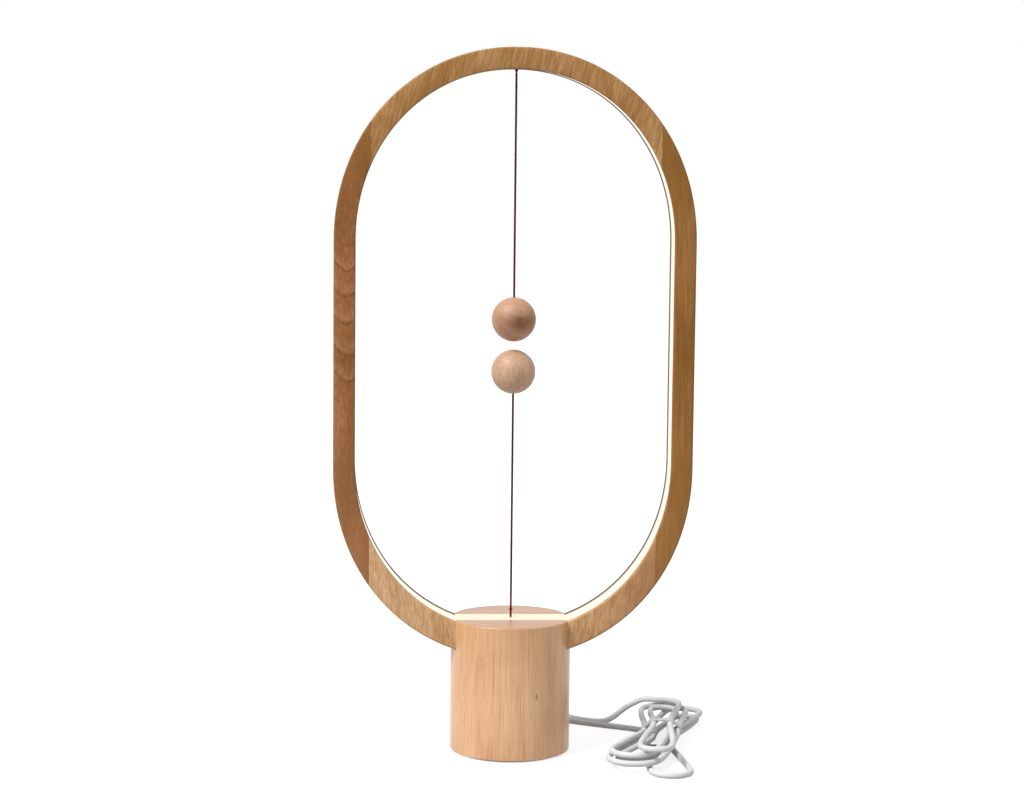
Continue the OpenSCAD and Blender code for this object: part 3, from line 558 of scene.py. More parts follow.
WOOD = {
    "top": wood(
        "wood_top", (130, 88, 40), (155, 112, 64), (180, 141, 98), turn=(0, -14, 0),
        stroke=(0.9, 0.9, 9.0), strokes=0.7, shift=(2, 1, 7), figures=[far_lip_painted_shade]),
    "left": wood(
        "wood_left", (112, 68, 26), (138, 89, 47), (166, 116, 78), stroke=(1.3, 1.3, 5.0),
        strokes=0.45, broad=0.6, fleck=0.45, shift=(2, 5, 1), figures=[scallops, paler_foot, far_lip_painted_shade]),
    "right": wood(
        "wood_right", (110, 68, 18), (134, 90, 38), (160, 114, 66), stroke=(1.2, 1.2, 18.0),
        strokes=0.4, broad=0.5, shift=(8, 1, 4), figures=[paler_foot, far_lip_painted_shade]),
    "left_arm": wood(
        "wood_left_arm", (168, 122, 76), (194, 153, 111), (216, 180, 142), turn=(0, 6, 0),
        stroke=(0.9, 0.9, 6.0), strokes=0.7, shift=(4, 4, 4), figures=[far_lip_painted_shade]),
    "right_arm": wood(
        "wood_right_arm", (146, 102, 60), (188, 146, 104), (212, 174, 134), turn=(0, -4, 0),
        stroke=(0.9, 0.9, 7.0), shift=(9, 4, 2), figures=[to_arm, far_lip_painted_shade]),
    "base": wood(
        "wood_base", (166, 112, 66), (206, 157, 113), (226, 182, 142), stroke=(1.2, 1.2, 22.0),
        strokes=0.3, broad=0.45, lines=0.2, hairs=0.75, shift=(6, 2, 3), gloss=0.5, coat=0.6,
        figures=[end_grain_and_shade]),
    "upper": wood(
        "wood_upper", (108, 60, 18), (172, 130, 101), (194, 156, 130), turn=(0, 80, 20),
        stroke=(1.2, 1.2, 6.0), strokes=0.2, broad=0.3, fleck=0.2, lines=0.15, hairs=0.1,
        shift=(1, 7, 3), gloss=0.5, figures=[painted_shade_belt]),
    "lower": wood(
        "wood_lower", (150, 112, 86), (177, 140, 113), (200, 166, 140), turn=(0, 4, 0),
        stroke=(0.9, 0.9, 7.0), strokes=0.5, shift=(3, 3, 9), gloss=0.5),
}
OPAL = glow("opal_lit", (1.0, 0.89, 0.76, 1), 0.88, (72, 70, 66))
OPAL_BASE = glow("opal_base_lit", (1.0, 0.88, 0.68, 1), 0.78, (90, 86, 78))
BRAID = braided()
CORD_GREY = plain("cord_sheath", (198, 200, 201), 0.55, 0.5, 0.02)
PLUG_GREY = plain("plug_moulding", (198, 198, 196), 0.5, 0.6, 0.03)
TIE_GREY = plain("tie_strap", (176, 176, 175), 0.7, 0.5, 0.05)
STEEL = plain("plated_steel", (196, 197, 200), 0.28, 0.3, 0.005, 1.0)
RUBBER = plain("foot_rubber", (150, 146, 140), 0.8, 0.7, 0.06)
COVER = plain("cover_plastic", (66, 65, 64), 0.6, 0.5, 0.03)
WHITE = plain("white_plastic", (233, 231, 224), 0.42, 0.6, 0.02)
BLACK = plain("black_plastic", (34, 34, 35), 0.5, 0.5, 0.02)
PORT = plain("port_dark", (22, 22, 24), 0.5, 0.5, 0.01)
BOARD = plain("circuit_board", (28, 92, 58), 0.4, 0.5, 0.01)
STRIP = plain("strip_board", (236, 236, 230), 0.4, 0.5, 0.01)
CHIP = plain("light_chip", (244, 226, 140), 0.3, 0.4, 0.01)
WIRE = plain("wire_red", (150, 36, 30), 0.45, 0.4, 0.01)
BRASS = plain("contact_brass", (214, 176, 96), 0.3, 0.3, 0.004, 1.0)
MAGNET = plain("magnet_plating", (204, 204, 206), 0.16, 0.3, 0.003, 1.0)

# ---------------------------------------------------------------- supply cord

# The cord's route from its exit to the hank, and from the hank to the plug
LEAD = [(0, EXIT_END, EXIT_H), (0, EXIT_END + 8, EXIT_H - 1), (2, 62, 13.5), (8, 69, 6.5),
        (18, 71, 2.4), (29, 66, 1.7), (38, 59.5, 1.7), (47, 54, 1.7), (56.5, 48.5, 1.7),
        (66, 43.5, 1.7), (74.5, 38.3, 1.8), (80.6, 31, 2.2)]
END = [(80, 65.2, 12), (72.5, 63.5, 8.5), (66, 59.5, 4.6), (60, 56.5, 2.2), (53.5, 57.2, 1.7),
       (46, 61.5, 1.7), (39.5, 67.5, 1.7), (35.5, 75.5, 1.8), (31.5, 83, 3), (26, 86, 4)]
ROUTE_STEPS, CORD_SIDES = 8, 16

# The hank: its place and turn, its loops in each layer, and its first and last ring
HANK_AT, HANK_TURN, HANK_PITCH = (86.0, 2.0), -5.0, CORD_D + 0.55
HANK_LOOPS, HANK_LAYERS, HANK_RINGS, HANK_FIRST, HANK_LAST = 1.5, 4, 24, 15, 130
HANK_CLIMB, HANK_SPREAD, CLIMB_SHARE = 0.3, 1.7, 0.55
RING_STEPS = 4
# Each layer's reach behind and in front of the waist, and how far it leans there
HANK_BACK, HANK_FRONT = (62, 62, 50, 50), (58, 46, 46, 50)
BACK_LEAN, FRONT_LEAN = (17, 17, 4, 4), (6, -24, -24, -6)
BACK_HALF, FRONT_HALF, WAIST_HALF, WAIST_SOFT = 7.0, 8.4, 3.6, 12
# Shares of a loop: half a run, a bend, and where the back and the front bend start
HALF_RUN, BEND = 0.15, 0.2
BACK_BEND, FRONT_BEND = 0.3, 0.8
# The tie round the waist, which lifts the strands this far to each side of it
TIE_T, TIE_W, TIE_BITE, TIE_EDGE = 1.0, 5.0, 0.3, 0.25
LIFT_HALF, LIFT_FADE = 24, 16
TINY = 1e-9


def hank_place(u, v, z):
    """A point beside the hank's middle and along it, in the part's own frame."""
    c, s = math.cos(math.radians(HANK_TURN)), math.sin(math.radians(HANK_TURN))
    return Vector((HANK_AT[0] + u * c - v * s, HANK_AT[1] + u * s + v * c, z))


def hank(t):
    """The hank's middle line after t loops, as in part.scad."""
    layer = min(int(t / HANK_LOOPS + TINY), HANK_LAYERS - 1)
    inside = t - HANK_LOOPS * layer
    climb = HANK_CLIMB if layer else 0.0
    climbing = inside < climb
    done = clamp((inside - climb) / (HANK_LOOPS - climb))
    inset = HANK_PITCH * HANK_SPREAD * (1 - done if layer % 2 == 0 else done)
    level = layer - 1 + ease(inside / climb / CLIMB_SHARE) if climbing else layer
    k = layer - 1 if climbing and inside < climb / 2 else layer

    p = t - math.floor(t + TINY)
    side, start = (1, BACK_BEND) if p < BACK_BEND + BEND else (-1, FRONT_BEND)
    behind = HALF_RUN <= p < FRONT_BEND - HALF_RUN
    reach, half, lean = ((HANK_BACK[k], BACK_HALF, BACK_LEAN[k]) if behind
                         else (HANK_FRONT[k], FRONT_HALF, FRONT_LEAN[k]))
    lean = math.tan(math.radians(lean))
    v = side * reach * min((p - start) / HALF_RUN + 1, 1)
    soft = math.hypot(v, WAIST_SOFT)
    along = Vector((v / soft * lean, 1)).normalized()
    across = Vector((along.y, -along.x))
    spot = Vector(((soft - WAIST_SOFT) * lean, v))
    if p >= start:
        a = math.pi * (p - start) / BEND
        spot += side * (half + inset) * (math.cos(a) * across + math.sin(a) * along)
    else:
        swing = math.sin(math.pi / 2 * abs(v) / reach) ** 2
        spot += side * (inset + WAIST_HALF + (half - WAIST_HALF) * swing) * across
    lift = (TIE_T - TIE_BITE) * (1 - ease((abs(v) - LIFT_HALF) / LIFT_FADE))
    return hank_place(spot.x, spot.y, CORD_D / 2 + HANK_PITCH * level + lift)


def smooth(points):
    """The cubic line through listed points that part.scad draws."""
    p = [Vector(q) for q in points]
    out = []
    for i in range(len(p) - 1):
        a, b, c, d = p[max(i - 1, 0)], p[i], p[i + 1], p[min(i + 2, len(p) - 1)]
        for k in range(ROUTE_STEPS):
            t = k / ROUTE_STEPS
            out.append(0.5 * (2 * b + (c - a) * t + (2 * a - 5 * b + 4 * c - d) * t * t
                              + (3 * b - a - 3 * c + d) * t ** 3))
    return out + [p[-1]]


def whole_cord():
    """The cord's middle line from its exit through the hank to the plug."""
    first, second, last_but_one, last = [
        hank(i / HANK_RINGS) for i in (HANK_FIRST, HANK_FIRST + 1, HANK_LAST - 1, HANK_LAST)]
    into, out_of = (first - second).normalized(), (last - last_but_one).normalized()
    start, end = first + CORD_D * into, last + CORD_D * out_of
    middle = [hank(i / HANK_RINGS / RING_STEPS)
              for i in range(HANK_FIRST * RING_STEPS, HANK_LAST * RING_STEPS + 1)]
    lead = [Vector((0, EXIT_Y, EXIT_H))] + smooth(LEAD + [start + 1.5 * CORD_D * into])
    tail = smooth([end + 1.5 * CORD_D * out_of] + END) + [Vector((*PLUG_AT, PLUG_BODY[2] / 2))]
    line = lead + [start] + middle + [end] + tail
    return [Vector((p.x, p.y, max(p.z, CORD_D / 2))) for p in line]


def soften(line, passes=3):
    """Evens out the line's small corners, with its ends left as they are."""
    for _ in range(passes):
        inner = [(line[i - 1] + 2 * line[i] + line[i + 1]) / 4 for i in range(2, len(line) - 2)]
        line = line[:2] + inner + line[-2:]
    return line


def strain_relief():
    """A flange and a tapered sleeve with ribs, round the cord's exit."""
    seat = BASE_R + 0.25
    bore, neck, flange, flange_top = CORD_D / 2, 3.0, 4.6, 0.5
    ribs, rib, rib_steps = 5, 0.22, 6
    tip, length = bore + 0.6, EXIT_END - seat - flange_top
    profile = [(bore, -6.0), (neck, -6.0), (neck, -0.7), (flange, -0.7), (flange, 0.2),
               (flange - 0.2, flange_top), (neck + 0.3, flange_top)]
    for i in range(ribs * rib_steps + 1):
        s = i / (ribs * rib_steps)
        wave = rib * (0.5 + 0.5 * math.cos(2 * math.pi * s * ribs))
        profile.append((neck + (tip - neck) * s - rib + wave, flange_top + s * length))
    profile += [(bore + 0.1, flange_top + length), (bore, flange_top - 0.1 + length)]
    verts, faces = lathe([(r, seat + out) for r, out in profile], 48)
    return [(x, out, EXIT_H - y) for x, y, out in verts], faces


def plug_grip():
    """The plug's moulded grip: a rounded body that narrows to its neck, and finger ribs."""
    l, w, h = PLUG_BODY
    x0, y0 = PLUG_AT[0] - l, PLUG_AT[1]
    outline = rounded_box(w, 0, h, 2.6, 5)
    stations = [(0, 0.86), (0.5, 0.95), (1.3, 1.0), (11.0, 1.0), (13.5, 0.97), (16.0, 0.86),
                (18.0, 0.66), (19.3, 0.56), (20.0, 0.52)]
    verts = [(x0 + s, y0 + y * k, h / 2 + (z - h / 2) * k) for s, k in stations for y, z in outline]
    body = verts, skin_faces(len(stations), len(outline))
    ribs, first, pitch, rib_l, proud, margin = 4, 4.0, 1.9, 0.9, 0.28, 2.2
    parts = [body]
    for side in (-1, 1):
        for i in range(ribs):
            x = x0 + first + pitch * i
            near, far = sorted((y0 + side * (w / 2 - proud), y0 + side * w / 2))
            parts.append(block((x, near, margin), (x + rib_l, far, h - margin), 0.12, 2))
    return join(*parts)


def plug_sleeve():
    """The connector's metal sleeve, open at its mouth."""
    l, w, h = PLUG_SHELL
    x0, y0, z0 = PLUG_AT[0] - PLUG_BODY[0], PLUG_AT[1], PLUG_BODY[2] / 2
    wall = 0.35
    outer = rounded_box(w, -h / 2, h / 2, 0.5, 3)
    mouth = [(y * 0.985, z * 0.96) for y, z in outer]
    inner = [(y * (w - 2 * wall) / w, z * (h - 2 * wall) / h) for y, z in outer]
    rings = [(x0, outer), (x0 - l + 0.25, outer), (x0 - l, mouth), (x0 - l + 0.15, inner),
             (x0 - 1.0, inner)]
    verts = [(x, y0 + y, z0 + z) for x, ring in rings for y, z in ring]
    return verts, skin_faces(len(rings), len(outer))


def in_plug(x0, x1, y0, y1, z0, z1, *edge):
    """A block in the connector, measured back from the grip and from its middle line."""
    x, y, z = PLUG_AT[0] - PLUG_BODY[0], PLUG_AT[1], PLUG_BODY[2] / 2
    return block((x - x0, y + y0, z + z0), (x - x1, y + y1, z + z1), *edge)


def tight_outline(discs, r, steps=96):
    """The line of a strap pulled round discs of this radius, about their middle."""
    middle = sum((Vector(d) for d in discs), Vector((0, 0))) / len(discs)
    out = []
    for i in range(steps):
        a = 2 * math.pi * i / steps
        way = Vector((math.cos(a), math.sin(a)))
        farthest = max(discs, key=lambda d: (Vector(d) - middle).dot(way))
        out.append(Vector(farthest) + r * way)
    return out


def hank_tie():
    """A flat strap round the waist of the hank, with eased edges."""
    c, s = math.cos(math.radians(HANK_TURN)), math.sin(math.radians(HANK_TURN))
    strands = []
    for i in range(1, int(2 * (HANK_LAST / HANK_RINGS - HALF_RUN)) + 1):
        p = hank(HALF_RUN + i / 2)
        strands.append(((p.x - HANK_AT[0]) * c + (p.y - HANK_AT[1]) * s, p.z))
    half, inner = TIE_W / 2, CORD_D / 2 - TIE_BITE
    outer = inner + TIE_T
    section = [(inner + TIE_EDGE, -half), (outer - TIE_EDGE, -half), (outer, -half + TIE_EDGE),
               (outer, half - TIE_EDGE), (outer - TIE_EDGE, half), (inner + TIE_EDGE, half),
               (inner, half - TIE_EDGE), (inner, -half + TIE_EDGE)]
    rings = [(tight_outline(strands, r), v) for r, v in section]
    verts = [hank_place(p.x, v, p.y) for ring, v in rings for p in ring]
    return verts, grid_faces(len(rings), len(rings[0][0]), closed=True)


cord_line = soften(whole_cord())
cord = piece("supply_cord", tube(cord_line, CORD_D / 2, CORD_SIDES, (1, 0, 0)), STAND, "cord_grey",
             CORD_GREY, "cord_lead", "cord_hank", "cord_end")
relief = piece("strain_relief", strain_relief(), STAND, "cord_grey", PLUG_GREY, "cord_gland")
plug = piece("plug_grip", plug_grip(), STAND, "cord_grey", PLUG_GREY, "usb_plug")
sleeve = piece("plug_sleeve", plug_sleeve(), STAND, "steel", STEEL, "usb_shell")
# The sleeve's two windows: their width, and how far back and out they lie
WINDOW, WINDOW_X, WINDOW_Y = 2.4, 9.5, 2.9
cut(sleeve, [in_plug(WINDOW_X + WINDOW, WINDOW_X, y - WINDOW / 2, y + WINDOW / 2, -4, 4)
             for y in (-WINDOW_Y, WINDOW_Y)])
tongue = piece("plug_tongue", in_plug(15.2, 1.2, -5.4, 5.4, -1.8, 0.1, 0.1, 1), STAND,
               "black_plastic", PORT)
pins = piece("plug_contacts", join(*[in_plug(14.6, 4.0, y - 0.5, y + 0.5, 0.1, 0.25, 0.05, 1)
                                     for y in (-3.5, -1.0, 1.0, 3.5)]), STAND, "contact_brass", BRASS)
strap = piece("hank_tie", hank_tie(), STAND, "tie_grey", TIE_GREY, "cord_tie")

# ---------------------------------------------------------------- loop


def full(c):
    """A sine or cosine, fuller than a circle's."""
    return math.copysign(abs(c) ** (2 / ARCH_FULLNESS), c)


def low_arc(inset, a):
    """A point of the lower arch, which hangs lower towards the rail's outer edge."""
    swell = ARM_SWELL * clamp(1 - inset / BACK)
    return ((LOOP_W / 2 - inset) * full(math.cos(a)),
            LOW_Z - swell - (ARCH_H - inset) * full(math.sin(a)))


def high_arc(inset, a):
    return ((LOOP_W / 2 - inset) * full(math.cos(a)), HIGH_Z + (ARCH_H - inset) * full(math.sin(a)))


def angle_at(inset, x):
    """The arches' angle at this distance from the loop's middle."""
    return math.acos((x / (LOOP_W / 2 - inset)) ** (ARCH_FULLNESS / 2))


def top_line(inset, s):
    a = angle_at(inset, JOINT_X)
    return high_arc(inset, a + (math.pi - 2 * a) * s)


def side_line(inset, s):
    """Down a side board: a third on the upper arch, a third straight, a third on the lower."""
    a = angle_at(inset, JOINT_X)
    if s < 1 / 3:
        return high_arc(inset, a * (1 - 3 * s))
    if s <= 2 / 3:
        return (LOOP_W / 2 - inset, HIGH_Z + (low_arc(inset, 0)[1] - HIGH_Z) * (3 * s - 1))
    return low_arc(inset, a * (3 * s - 2))


def arm_line(inset, s):
    a, b = angle_at(inset, JOINT_X), angle_at(inset, ARM_X)
    return low_arc(inset, a + (b - a) * s)


def light_line(inset, s):
    """All round the inside from one end of the base's strip to the other."""
    b = angle_at(inset, ARM_X)
    straight = SIDE_H / (LOOP_W / 2)
    lengths = (b, straight, math.pi, straight, b)
    t = s * sum(lengths)
    stretch = 0
    while stretch < 4 and t > lengths[stretch]:
        t -= lengths[stretch]
        stretch += 1
    k = min(t / lengths[stretch], 1.0)
    if stretch == 0:
        return low_arc(inset, b * (1 - k))
    if stretch == 1:
        return (LOOP_W / 2 - inset, LOW_Z + SIDE_H * k)
    if stretch == 2:
        return high_arc(inset, math.pi * k)
    if stretch == 3:
        return (inset - LOOP_W / 2, HIGH_Z - SIDE_H * k)
    x, z = low_arc(inset, b * k)
    return (-x, z)


def loft(profile, line, stations, mirror=1, ease_end=0.15):
    """A rail of this profile of (inset, y) along a line of the loop. Its end edges are
    eased, so that a fine line shows where two boards meet."""
    near_end = 0.0012
    steps = [(0.0, ease_end), (near_end, 0.0)] + [(i / stations, 0.0) for i in range(1, stations)]
    steps += [(1 - near_end, 0.0), (1.0, ease_end)]
    verts = []
    for s, shrink in steps:
        for inset, y in profile:
            drawn_in = RAIL_T / 2 + (inset - RAIL_T / 2) * (1 - shrink / (RAIL_T / 2))
            x, z = line(drawn_in, s)
            verts.append((mirror * x, y * (1 - shrink / (RAIL_D / 2)), z))
    return verts, skin_faces(len(steps), len(profile))


RAIL = rounded([
    (0, -HALF_RAIL, 1.1), (0, HALF_RAIL, 1.1), (RAIL_T, HALF_RAIL, 0.9), (RAIL_T, HALF_LIGHT, 0.25),
    (BACK, HALF_LIGHT, 0), (BACK, HALF_CHANNEL, 0), (CHANNEL_FLOOR, HALF_CHANNEL, 0),
    (CHANNEL_FLOOR, -HALF_CHANNEL, 0), (BACK, -HALF_CHANNEL, 0), (BACK, -HALF_LIGHT, 0),
    (RAIL_T, -HALF_LIGHT, 0.25), (RAIL_T, -HALF_RAIL, 0.9)], 4)
LIGHT_BAND = rounded([(BACK, -HALF_LIGHT, 0), (BACK, HALF_LIGHT, 0), (FACE, HALF_LIGHT, 0.25),
                      (FACE, -HALF_LIGHT, 0.25)], 3)
for name, line, stations, mirror, node, slot, kind in (
        ("top_board", top_line, 96, 1, "frame_top", "wood_arch", "top"),
        ("left_board", side_line, 108, -1, "frame_left", "wood_left", "left"),
        ("right_board", side_line, 108, 1, "frame_right", "wood_dark", "right"),
        ("left_arm", arm_line, 48, -1, "arm_left", "wood_arm", "left_arm"),
        ("right_arm", arm_line, 48, 1, "arm_right", "wood_arm", "right_arm")):
    piece(name, loft(RAIL, line, stations, mirror), STAND, slot, WOOD[kind], node)
piece("loop_diffuser", loft(LIGHT_BAND, light_line, 420, ease_end=0.0), STAND, "diffuser", OPAL,
      "diffuser_loop")

# ---------------------------------------------------------------- base


def turned_base():
    """The base's cylinder with eased edges, hollow from below, with a step for its cover."""
    steps = 6
    wall_h, cover_r = BASE_H - PAD_T - 2 * EDGE, COVER_D / 2 + COVER_PLAY
    profile = [(0, HOLLOW_TOP), (HOLLOW_D / 2, HOLLOW_TOP), (HOLLOW_D / 2, PAD_T + COVER_T),
               (cover_r, PAD_T + COVER_T), (cover_r, PAD_T)]
    profile += arc(BASE_R - EDGE, PAD_T + EDGE, EDGE, -90, 0, steps)
    profile += [(BASE_R, PAD_T + EDGE + wall_h * i / steps) for i in range(1, steps)]
    profile += arc(BASE_R - EDGE, BASE_H - EDGE, EDGE, 0, 90, steps) + [(0, BASE_H)]
    return lathe(profile, 192)


def arm_seat(side):
    """The room in the base's rim that an arm's end takes up."""
    past, over, steps = BASE_R + 4, BASE_H + 6, 8
    start, end = angle_at(0, ARM_X), angle_at(0, past)
    outline = [low_arc(0, start + (end - start) * i / steps) for i in range(steps + 1)]
    outline += [(past, over), (ARM_X, over)]
    n = len(outline)
    verts = [(side * x, y, z) for y in (-HALF_RAIL, HALF_RAIL) for x, z in outline]
    walls = [(i, (i + 1) % n, n + (i + 1) % n, n + i) for i in range(n)]
    return verts, [tuple(range(n)), tuple(range(2 * n - 1, n - 1, -1))] + walls


def foot_profile(edge=0.4):
    return ([(0, 0), (PAD_D / 2 - edge, 0)] + arc(PAD_D / 2 - edge, edge, edge, -90, 0, 3)
            + [(PAD_D / 2, PAD_T), (0, PAD_T)])


def along_base(half_l, half_w, low, high, *edge):
    """A block along X through the middle of the base's top."""
    return block((-half_l, -half_w, low), (half_l, half_w, high), *edge)


LIGHT_TOP = BASE_H - BASE_RECESS
LIGHT_Z = LIGHT_TOP - DIFFUSER_T
SLOT_X, SLOT_TOP = 40, BASE_H + 5
base = piece("turned_base", turned_base(), STAND, "wood_base", WOOD["base"], "base_body")
cut(base, [arm_seat(-1), arm_seat(1), along_base(SLOT_X, HALF_LIGHT, LIGHT_Z, SLOT_TOP),
           along_base(SLOT_X, HALF_CHANNEL, LIGHT_Z - CHANNEL_H, SLOT_TOP)])
piece("base_diffuser", along_base(ARM_X, HALF_LIGHT, LIGHT_Z, LIGHT_TOP, 0.2, 2), STAND, "diffuser",
      OPAL_BASE, "diffuser_base")
piece("foot", lathe(foot_profile(), 128), STAND, "foot_rubber", RUBBER, "foot_pad")

# ---------------------------------------------------------------- balls and their cords


def ball_profile():
    """A ball turned from the cord's hole at its bottom to its top, with the fine seam
    of the plug over its magnet."""
    hole, hole_edge, steps = 0.75, 0.25, 72
    seam_r, seam_w, seam_depth = 5.0, 0.12, 0.08
    first = math.asin((hole + hole_edge) / BALL_R)
    angles = [first + (math.pi - first) * i / steps for i in range(steps)]
    outline = [(0.0, -BALL_R + 1.4), (hole * 0.98, -BALL_R + 1.2)]
    outline += [(BALL_R * math.sin(a), -BALL_R * math.cos(a)) for a in angles] + [(0.0, BALL_R)]
    seam = math.pi - math.asin(seam_r / BALL_R)
    shaped = []
    for r, z in outline:
        off = (math.atan2(r, -z) - seam) * BALL_R / seam_w
        k = 1 - seam_depth * math.exp(-off ** 2) / max(math.hypot(r, z), 1)
        shaped.append((r * k, z * k))
    return shaped


def ball(z, facing):
    """A ball about this height, with its cord's hole below it, or above it where facing is -1."""
    verts, faces = lathe(ball_profile(), 112)
    return [(x, y * facing, z + h * facing) for x, y, h in verts], faces


def braid(z0, z1):
    """A round braid: eight strands that cross each other over and under."""
    strands, pitch, step, low = 4, 4.2, 0.16, 0.95
    steps = max(2, int(abs(z1 - z0) / step))

    def bulge(run, angle):
        twist = 2 * math.pi * run * strands / pitch
        over, under = math.sin(strands * angle + twist), math.sin(strands * angle - twist)
        return STRING_D / 2 * (low + (1 - low) * max(over, under))
    return tube([(0, 0, z0 + (z1 - z0) * i / steps) for i in range(steps + 1)], bulge, 24, (1, 0, 0))


def knot(z):
    """A small knot: one turn of the cord over another, round a core."""
    thick, steps, core_r, core_steps = 0.36, 96, 0.96 * KNOT_R, 18
    middle_r = KNOT_R - thick
    line = []
    for i in range(steps + 1):
        a = 2 * math.pi * i / steps
        r = middle_r * (0.62 + 0.38 * math.cos(3 * a))
        line.append((r * math.cos(2 * a), r * math.sin(2 * a), z + middle_r * 0.95 * math.sin(3 * a)))
    angles = [math.pi * i / core_steps for i in range(1, core_steps)]
    core = [(core_r * math.sin(a), z - core_r * math.cos(a)) for a in angles]
    return join(tube(line, thick, 10, (0, 0, 1), caps=False),
                lathe([(0, z - core_r)] + core + [(0, z + core_r)], 24))


def bead_profile():
    """The bead in the diffuser that carries the upper cord."""
    r, eased, proud, depth = 2.0, 0.25, 0.12, 9
    return [(0, ARCH_FACE - proud), (r - eased, ARCH_FACE - proud), (r, ARCH_FACE),
            (r, ARCH_FACE + depth), (0, ARCH_FACE + depth)]


def bush_profile():
    """The bush in the base's diffuser that the pull cord runs through."""
    bore, r, eased, proud = 0.9, 1.8, 0.15, 0.1
    return [(bore, HOLLOW_TOP), (r, HOLLOW_TOP), (r, LIGHT_TOP), (r - eased, LIGHT_TOP + proud),
            (bore + eased, LIGHT_TOP + proud), (bore, LIGHT_TOP - proud)]


# How far short of the knots the strings end, and how deep they go into balls and plunger
KNOT_GAP, IN_BALL, IN_PLUNGER = 0.06, 8, 4.3
piece("hanging_ball", ball(UPPER_Z, -1), "upper_pendulum", "wood_dark", WOOD["upper"],
      "upper_ball", "upper_ball_plug", sharp=50)
piece("standing_ball", ball(LOWER_Z, 1), "lower_pendulum", "wood_pale", WOOD["lower"],
      "lower_ball", "lower_ball_plug", sharp=50)
for name, z0, z1, body, node in (
        ("lower_string", LOWER_PIVOT + KNOT_R + KNOT_GAP, LOWER_Z - IN_BALL,
         "lower_pendulum", "lower_cord"),
        ("upper_string", UPPER_Z + IN_BALL, UPPER_PIVOT - KNOT_R - KNOT_GAP,
         "upper_pendulum", "upper_cord"),
        ("pull_string", HOLLOW_TOP - IN_PLUNGER, LOWER_PIVOT - KNOT_R - KNOT_GAP,
         "switch_plunger", "pull_cord")):
    piece(name, braid(z0, z1), body, "ball_cord", BRAID, node, sharp=60)
for name, z, body, node in (
        ("lower_knot", LOWER_PIVOT, "lower_yoke", "lower_cord_knot"),
        ("upper_knot", UPPER_PIVOT, "upper_yoke", "upper_cord_knot")):
    piece(name, knot(z), body, "ball_cord", BRAID, node, sharp=80)
piece("arch_bead", lathe(bead_profile(), 48), STAND, "white_plastic", WHITE, "upper_cord_peg")
piece("base_bush", lathe(bush_profile(), 48), STAND, "white_plastic", OPAL_BASE, "lower_cord_bush")

# ---------------------------------------------------------------- inner pieces, as the CAD has them

for material, nodes in (
        (WOOD["lower"], "board_dowels arm_dowels"),
        (STRIP, "led_strip_loop led_strip_base"),
        (CHIP, "leds_loop leds_base"),
        (WIRE, "led_wires"),
        (BLACK, "switch_wires driver_parts"),
        (COVER, "bottom_cover"),
        (STEEL, "cover_screws ballast ballast_screw board_screws switch_screws switch_spring"),
        (BOARD, "driver_board"),
        (WHITE, "switch_housing switch_cap switch_plunger"),
        (BRASS, "switch_contacts contact_bridge"),
        (MAGNET, "lower_magnet upper_magnet"),
        (PLUG_GREY, "gland_ring cord_tail")):
    for node in nodes.split():
        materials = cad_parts[node].data.materials
        materials.clear()
        materials.append(material)

# ---------------------------------------------------------------- stage and light

# The floor's tone for rays that see it, with its own shine, and for light that it sends on
FLOOR_SEEN, FLOOR_SHINE, FLOOR_SENDS = 0.38, 0.78, 0.45
WORLD_LIGHT = 0.62
FLOOR_HALF = 30.0


def sees_white(tree):
    """1 for rays that see the white background: the camera's, mirrored and refracted ones."""
    path = tree.nodes.new("ShaderNodeLightPath")
    found = path.outputs["Is Camera Ray"]
    for kind in ("Is Glossy Ray", "Is Transmission Ray"):
        either = tree.nodes.new("ShaderNodeMath")
        either.operation = "MAXIMUM"
        tree.links.new(found, either.inputs[0])
        tree.links.new(path.outputs[kind], either.inputs[1])
        found = either.outputs[0]
    return found


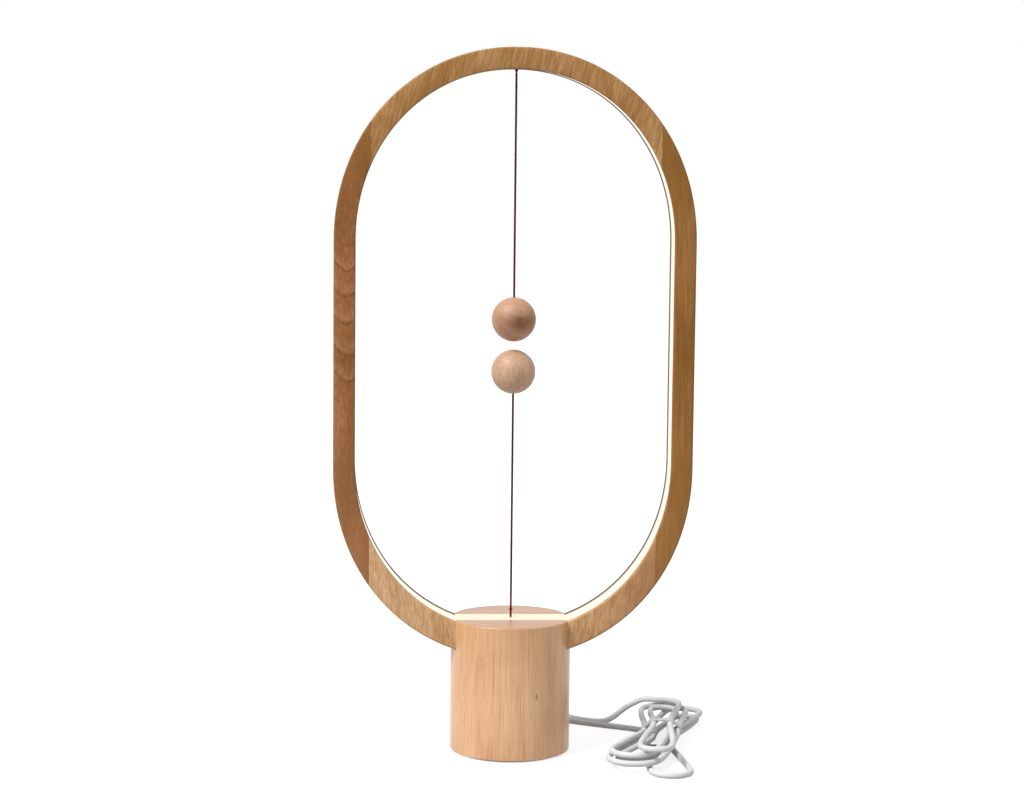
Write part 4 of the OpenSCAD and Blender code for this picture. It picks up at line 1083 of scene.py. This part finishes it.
def floor_material():
    """White to the camera and in reflections, with the object's soft shadow kept."""
    n = Nodes("floor_white")

    def matt(tone):
        diffuse = n.add("BsdfDiffuse")
        diffuse.inputs["Color"].default_value = (tone, tone, tone, 1)
        return diffuse.outputs[0]
    shine = n.add("Emission")
    shine.inputs["Color"].default_value = ALL
    shine.inputs["Strength"].default_value = FLOOR_SHINE
    seen, pick = n.add("AddShader"), n.add("MixShader")
    n.link(matt(FLOOR_SEEN), seen.inputs[0])
    n.link(shine.outputs[0], seen.inputs[1])
    n.link(sees_white(n.tree), pick.inputs[0])
    n.link(matt(FLOOR_SENDS), pick.inputs[1])
    n.link(seen.outputs[0], pick.inputs[2])
    n.link(pick.outputs[0], n.tree.nodes["Material Output"].inputs["Surface"])
    return n.mat


def floor():
    """A wide plane under the object."""
    mesh = bpy.data.meshes.new("floor")
    corners = [(x * FLOOR_HALF, y * FLOOR_HALF, 0) for x, y in ((-1, -1), (1, -1), (1, 1), (-1, 1))]
    mesh.from_pydata(corners, [], [(0, 1, 2, 3)])
    mesh.materials.append(floor_material())
    add_object("floor", mesh)


def white_world():
    """Even light from all sides, at full white for rays that see it."""
    world = bpy.data.worlds.new("world")
    bpy.context.scene.world = world
    world.use_nodes = True
    tree = world.node_tree
    background = tree.nodes["Background"]
    background.inputs["Color"].default_value = ALL
    strength = tree.nodes.new("ShaderNodeMapRange")
    strength.inputs["To Min"].default_value = WORLD_LIGHT
    strength.inputs["To Max"].default_value = 1.0
    tree.links.new(sees_white(tree), strength.inputs["Value"])
    tree.links.new(strength.outputs[0], background.inputs["Strength"])


def lamp(name, place, size, watts):
    """A round soft lamp that shines on the lower half of the object."""
    aim = Vector((0, 0, 0.2))
    data = bpy.data.lights.new(name, "AREA")
    data.shape, data.size, data.energy = "DISK", size, watts
    obj = add_object(name, data)
    obj.location = place
    obj.rotation_mode = "QUATERNION"
    obj.rotation_quaternion = (aim - Vector(place)).to_track_quat("-Z", "Y")


floor()
white_world()
lamp("key", (-1.86, -1.26, 2.9), 1.4, 143)
lamp("fill", (1.7, -0.9, 0.9), 1.0, 2)

view = bpy.context.scene.view_settings
view.view_transform = "Standard"
